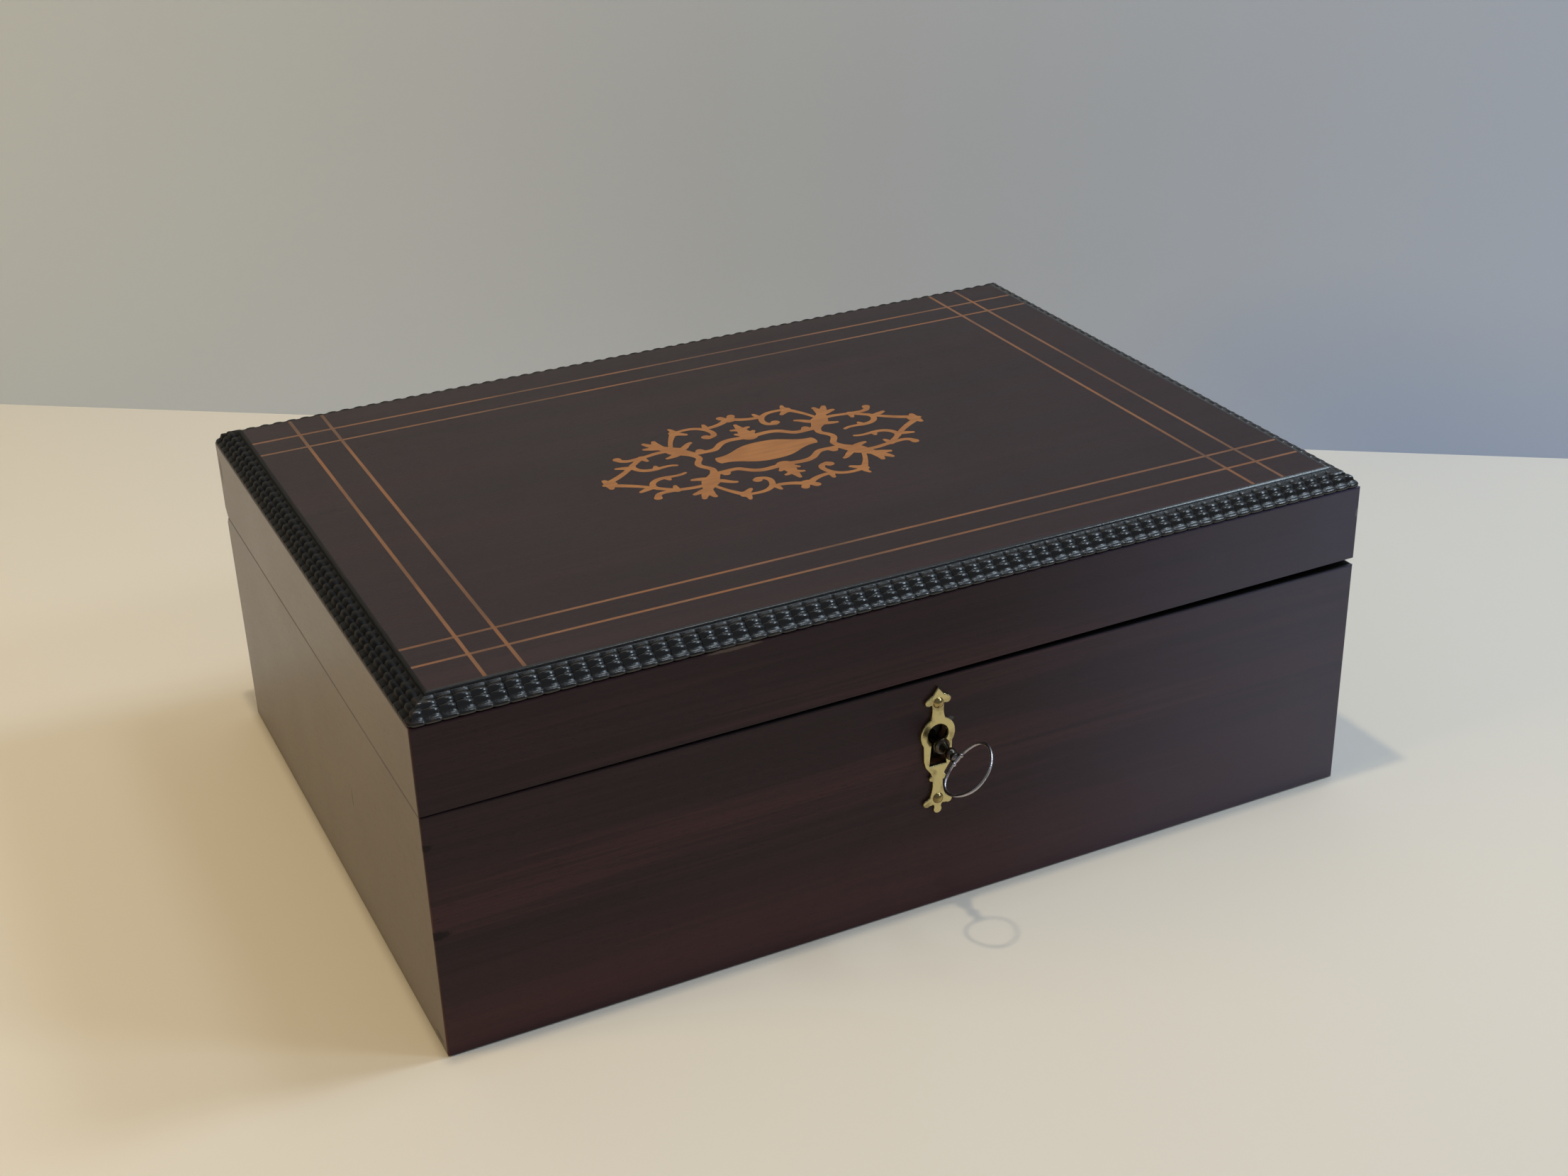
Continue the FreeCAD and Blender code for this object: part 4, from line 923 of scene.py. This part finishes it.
class LockOperator(bpy.types.Operator):
    """Finish the box lock and its strike"""

    bl_idname = "inlaid_box.lock"
    bl_label = "Box lock"

    def execute(self, context):
        look = context.scene.inlaid_box.metal
        paint(LOCK_BRASS, brass("lock_brass", look.dull, look.tarnish, 0.24, 0.7))
        paint(LOCK_STEEL, steel("lock_steel", look))
        return {"FINISHED"}


class KeyOperator(bpy.types.Operator):
    """Build the key: hollow barrel with its bit, turned collars and ball, wire bow"""

    bl_idname = "inlaid_box.key"
    bl_label = "Key"

    BORE = 0.9 * MM
    BORE_DEPTH = 8.2 * MM
    BORE_LIP = 0.1 * MM
    EASE = 0.15 * MM
    SHANK = 1.6 * MM
    SHANK_END = 0.9 * MM
    COLLAR = 2.3 * MM
    COLLAR_ENDS = (1.2 * MM, 2.5 * MM)
    COLLAR_EASE = 0.4 * MM
    TAPER = ((1.5 * MM, 2.8 * MM), (1.4 * MM, 3.2 * MM), (1.15 * MM, 4.2 * MM))
    NECK = 1.0 * MM
    BALL_REACH = 6.4 * MM
    BALL_STEPS = 12
    WAIST = (0.95 * MM, 8.3 * MM)
    SMALL_COLLAR = 1.5 * MM
    SMALL_COLLAR_ENDS = (8.5 * MM, 9.45 * MM)
    SMALL_COLLAR_EASE = 0.3 * MM
    BOW_REACH = 9.8 * MM
    TIP = ((0.9 * MM, 9.6 * MM), (0.6 * MM, BOW_REACH), (0.0, BOW_REACH))
    BOW_NEAR_HALF = 5.6 * MM
    BOW_FAR_HALF = 7.2 * MM
    BOW_END = 4.8 * MM
    HEAVY_PLACE = -2.6 * MM
    HEAVY_SPREAD = 2.4 * MM
    HEAVY_WIDER = 0.40
    HEAVY_DEEPER = 0.15
    JOINT_SPREAD = 1.6 * MM
    JOINT_WIDER = 0.30
    JOINT_DEEPER = 0.25
    LOBE_OFFSET = 1.5 * MM
    LOBE_REACH = 0.25 * MM
    LOBE_SIZE = 1.5
    BIT_REACH = 6.3 * MM
    BIT_PLACE = -6.8 * MM
    BIT_THICK = 1.8 * MM
    BIT_LENGTH = 1.6 * MM
    TURNING = 40
    WIRE_SIDES = 14
    ARC_STEPS = 18

    def execute(self, context):
        sizes = context.scene.inlaid_box.key
        rest_lean = math.pi / 2 - key_swing / 2
        placed = Matrix.Translation(key_axis) @ Matrix.Rotation(-rest_lean, 4, "Y")
        placed = placed @ Matrix.Rotation(math.pi / 2, 4, "X")
        stem = bmesh.new()
        lathe(stem, self.turned(sizes.ball), self.TURNING, placed)
        shapes = [stem, self.bow(sizes, placed), self.bit(placed)]
        for side in (-1, 1):
            shapes.append(self.lobe(sizes, side, placed))
        material = iron("key_iron", context.scene.inlaid_box.metal)
        piece_from("turned_key", united("turned_key", shapes), material, "key", ["key"])
        return {"FINISHED"}

    @staticmethod
    def rounded_rim(radius, start, end, ease):
        """Profile of a collar whose edges are rounded."""
        near = 0.3 * ease
        points = [(radius - ease, start), (radius - near, start + near), (radius, start + ease)]
        return points + [(r, start + end - height) for r, height in reversed(points)]

    def turned(self, ball):
        """Radii of the stem and their distances in front of the escutcheon, from the bore outwards."""
        tip = key_axis.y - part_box("key")[1].y
        bottom = tip + self.BORE_DEPTH
        points = [(0.0, bottom), (self.BORE - self.EASE, bottom), (self.BORE, bottom - self.EASE)]
        points += [(self.BORE, tip + self.BORE_LIP), (self.BORE + self.BORE_LIP, tip)]
        points += [(self.SHANK - self.EASE, tip), (self.SHANK, tip + self.EASE)]
        points.append((self.SHANK, self.SHANK_END))
        points += self.rounded_rim(self.COLLAR, *self.COLLAR_ENDS, self.COLLAR_EASE)
        points += self.TAPER
        first = math.asin(self.NECK / ball)
        for step in range(self.BALL_STEPS + 1):
            angle = first + (math.pi - 2 * first) * step / self.BALL_STEPS
            points.append((ball * math.sin(angle), self.BALL_REACH - ball * math.cos(angle)))
        points.append(self.WAIST)
        points += self.rounded_rim(self.SMALL_COLLAR, *self.SMALL_COLLAR_ENDS, self.SMALL_COLLAR_EASE)
        points += self.TIP
        return points

    def bow_arcs(self, half_width):
        """Arcs of the bow's middle line: centre, radius, first angle and sweep."""
        reach = half_width - self.BOW_END
        arcs = []
        turns = []
        for half in (self.BOW_NEAR_HALF, self.BOW_FAR_HALF):
            radius = (reach ** 2 + half ** 2 - self.BOW_END ** 2) / (2 * (half - self.BOW_END))
            turns.append((half, radius, math.atan2(reach, radius - half)))
        (near, near_radius, near_turn), (far, far_radius, far_turn) = turns
        quarter = math.pi / 2
        end_sweep = math.pi - near_turn - far_turn
        arcs.append((Vector((0, near_radius - near)), near_radius, -quarter - near_turn, 2 * near_turn))
        arcs.append((Vector((reach, 0)), self.BOW_END, near_turn - quarter, end_sweep))
        arcs.append((Vector((0, far - far_radius)), far_radius, quarter - far_turn, 2 * far_turn))
        arcs.append((Vector((-reach, 0)), self.BOW_END, quarter + far_turn, end_sweep))
        return arcs

    def swellings(self, middle):
        """How far the wire is hammered heavier at a point, and how far it thickens for the stem."""
        if middle.y > 0:
            return math.exp(-((middle.x - self.HEAVY_PLACE) / self.HEAVY_SPREAD) ** 2), 0.0
        return 0.0, math.exp(-(middle.x / self.JOINT_SPREAD) ** 2)

    def bow(self, sizes, placed):
        """Wire hammered heavier on part of its far side and where it joins the stem."""
        work = bmesh.new()
        rings = []
        for centre, radius, first, sweep in self.bow_arcs(sizes.bow_half_width):
            for step in range(self.ARC_STEPS):
                angle = first + sweep * step / self.ARC_STEPS
                outward = Vector((math.cos(angle), math.sin(angle)))
                middle = centre + outward * radius
                heavy, joint = self.swellings(middle)
                wide = sizes.wire * (1 + self.HEAVY_WIDER * heavy + self.JOINT_WIDER * joint)
                deep = sizes.wire * (1 + self.HEAVY_DEEPER * heavy + self.JOINT_DEEPER * joint)
                ring = []
                for side in range(self.WIRE_SIDES):
                    around = 2 * math.pi * side / self.WIRE_SIDES
                    spot = middle + outward * (wide * math.cos(around))
                    height = self.BOW_REACH + self.BOW_NEAR_HALF + spot.y
                    point = Vector((spot.x, deep * math.sin(around), height))
                    ring.append(work.verts.new(placed @ point))
                rings.append(ring)
        skin(work, rings + rings[:1])
        return work

    def lobe(self, sizes, side, placed):
        """Small bead that stops the end of the bow beside the stem."""
        work = bmesh.new()
        place = Vector((side * self.LOBE_OFFSET, 0, self.BOW_REACH + self.LOBE_REACH))
        moved = placed @ Matrix.Translation(place)
        radius = sizes.wire * self.LOBE_SIZE
        bmesh.ops.create_icosphere(work, subdivisions=3, radius=radius, matrix=moved)
        return work

    def bit(self, placed):
        """Flat bit that drives the bolt, with eased edges."""
        work = bmesh.new()
        size = Matrix.Diagonal((self.BIT_REACH - self.SHANK / 2, self.BIT_THICK, self.BIT_LENGTH, 1.0))
        middle = Matrix.Translation(((self.BIT_REACH + self.SHANK / 2) / 2, 0, self.BIT_PLACE))
        bmesh.ops.create_cube(work, size=1.0, matrix=placed @ middle @ size)
        bmesh.ops.bevel(
            work, geom=work.edges[:], offset=self.EASE, segments=2, profile=0.5, affect="EDGES")
        return work


class StageOperator(bpy.types.Operator):
    """Set the floor, the backdrop, the soft lights and the camera"""

    bl_idname = "inlaid_box.stage"
    bl_label = "Stage"

    WALL_LEFT = Vector((-0.174, 0.429, 0.0))
    WALL_RIGHT = Vector((0.374, 0.045, 0.0))
    FLOOR_DROP = 0.2 * MM
    SPREAD = 3.0
    SENSOR = 36.0

    # Name, tint, power, width, place, aim, and whether polished surfaces mirror the lamp
    LAMPS = [
        ("overhead", "lamp", "lamp_power", 0.04, (-0.13, -0.07, 1.09), (0, 0, 0), False),
        ("fill", "fill", "fill_power", 0.20, (0.30, -0.05, 1.10), (0, 0, 0), True),
        ("window", "window", "window_power", 0.30, (0.85, -0.20, 1.10), (0, 0, 0.05), True),
        ("front", "window", "front_power", 0.22, (0.73, -0.66, 0.80), (0, 0, 0.05), True),
        ("glow", "glow", "glow_power", 0.5, (-1.00, 0.00, 0.45), (-0.30, 0, 0), False),
    ]

    def execute(self, context):
        look = context.scene.inlaid_box.stage
        self.floor(look)
        self.wall(look)
        self.world(context, look)
        for name, tint, strength, size, place, aim, mirrored in self.LAMPS:
            item = self.lamp("lamp_" + name, getattr(look, tint), getattr(look, strength), size)
            item.visible_glossy = mirrored
            self.point(item, place, aim)
        self.camera(context, look)
        context.scene.view_settings.view_transform = "Standard"
        return {"FINISHED"}

    @staticmethod
    def point(item, place, aim, roll=0.0):
        """Stands a lamp or the camera at a place and turns it towards a point."""
        level = (Vector(aim) - Vector(place)).to_track_quat("-Z", "Y")
        item.location = place
        item.rotation_mode = "QUATERNION"
        item.rotation_quaternion = level @ Quaternion((0, 0, 1), roll)

    def sheet(self, name, corners, material):
        """A flat sheet that belongs to the stage."""
        data = bpy.data.meshes.new(name)
        data.from_pydata(corners, [], [range(len(corners))])
        data.materials.append(material)
        item = in_scene(name, data)
        return item

    def floor(self, look):
        shader = Shader("stage_floor", Roughness=0.55, Specular_IOR_Level=0.25)
        shader.feed("Base Color", look.floor)
        far = self.SPREAD
        corners = [(-far, -far), (far, -far), (far, far), (-far, far)]
        self.sheet("floor", [(x, y, -self.FLOOR_DROP) for x, y in corners], shader.material)

    def wall(self, look):
        """An upright sheet behind the box, clear when seen from its back."""
        shader = Shader("stage_wall", Roughness=0.8, Specular_IOR_Level=0.1)
        shader.feed("Base Color", look.wall)
        behind = shader.node("ShaderNodeNewGeometry", output="Backfacing")
        clear = shader.node("ShaderNodeBsdfTransparent")
        front = Socket(shader, shader.surface.outputs[0])
        seen = shader.node("ShaderNodeMixShader", None, {0: behind, 1: front, 2: clear})
        target = ready_node(shader.tree, "OUTPUT_MATERIAL")
        shader.connect(target.inputs["Surface"], seen)
        along = (self.WALL_RIGHT - self.WALL_LEFT).normalized()
        left = self.WALL_LEFT - along * self.SPREAD
        right = self.WALL_RIGHT + along * self.SPREAD
        rise = Vector((0, 0, self.SPREAD))
        drop = Vector((0, 0, self.FLOOR_DROP))
        corners = [left - drop, right - drop, right + rise, left + rise]
        item = self.sheet("wall", corners, shader.material)
        item.visible_shadow = False

    def world(self, context, look):
        world = bpy.data.worlds.new("room")
        world.use_nodes = True
        backdrop = ready_node(world.node_tree, "BACKGROUND")
        backdrop.inputs["Color"].default_value = (*look.sky, 1.0)
        context.scene.world = world

    def lamp(self, name, tint, strength, size):
        """A round soft light."""
        data = bpy.data.lights.new(name, "AREA")
        data.shape = "DISK"
        data.color = tint
        data.energy = strength
        data.size = size
        return in_scene(name, data)

    def camera(self, context, look):
        data = bpy.data.cameras.new("camera")
        data.lens = look.camera_lens
        data.sensor_width = self.SENSOR
        item = in_scene("camera", data)
        self.point(item, look.camera_place, look.camera_aim, look.camera_roll)
        context.scene.camera = item


OPERATORS = [
    VeneerOperator, InlayOperator, MouldingOperator, CarcaseOperator, LiningOperator,
    EscutcheonOperator, HingeOperator, LockOperator, KeyOperator, StageOperator,
]


class BoxPanel(bpy.types.Panel):
    """Lists the pieces of the box and their settings"""

    bl_idname = "VIEW3D_PT_inlaid_box"
    bl_label = "Inlaid box"
    bl_space_type = "VIEW_3D"
    bl_region_type = "UI"
    bl_category = "Inlaid box"

    def draw(self, context):
        settings = context.scene.inlaid_box
        for operator in OPERATORS:
            self.layout.operator(operator.bl_idname)
        for group in settings.__annotations__:
            section = self.layout.box()
            section.label(text=group.capitalize())
            value = getattr(settings, group)
            for name in value.__annotations__:
                section.prop(value, name)


GROUPS = [
    RosewoodLook, BoxwoodLook, EbonisedLook, MetalLook, KeySizes, InsideLook, StageLook, BoxSettings,
]


def register():
    for item in GROUPS + OPERATORS + [BoxPanel]:
        bpy.utils.register_class(item)
    bpy.types.Scene.inlaid_box = PointerProperty(type=BoxSettings)


def unregister():
    del bpy.types.Scene.inlaid_box
    for item in reversed(GROUPS + OPERATORS + [BoxPanel]):
        bpy.utils.unregister_class(item)


def main():
    register()
    bpy.ops.inlaid_box.veneers()
    bpy.ops.inlaid_box.inlay()
    bpy.ops.inlaid_box.mouldings()
    bpy.ops.inlaid_box.carcase()
    bpy.ops.inlaid_box.lining()
    bpy.ops.inlaid_box.escutcheon()
    bpy.ops.inlaid_box.hinges()
    bpy.ops.inlaid_box.lock()
    bpy.ops.inlaid_box.key()
    bpy.ops.inlaid_box.stage()


if __name__ == "__main__":
    main()
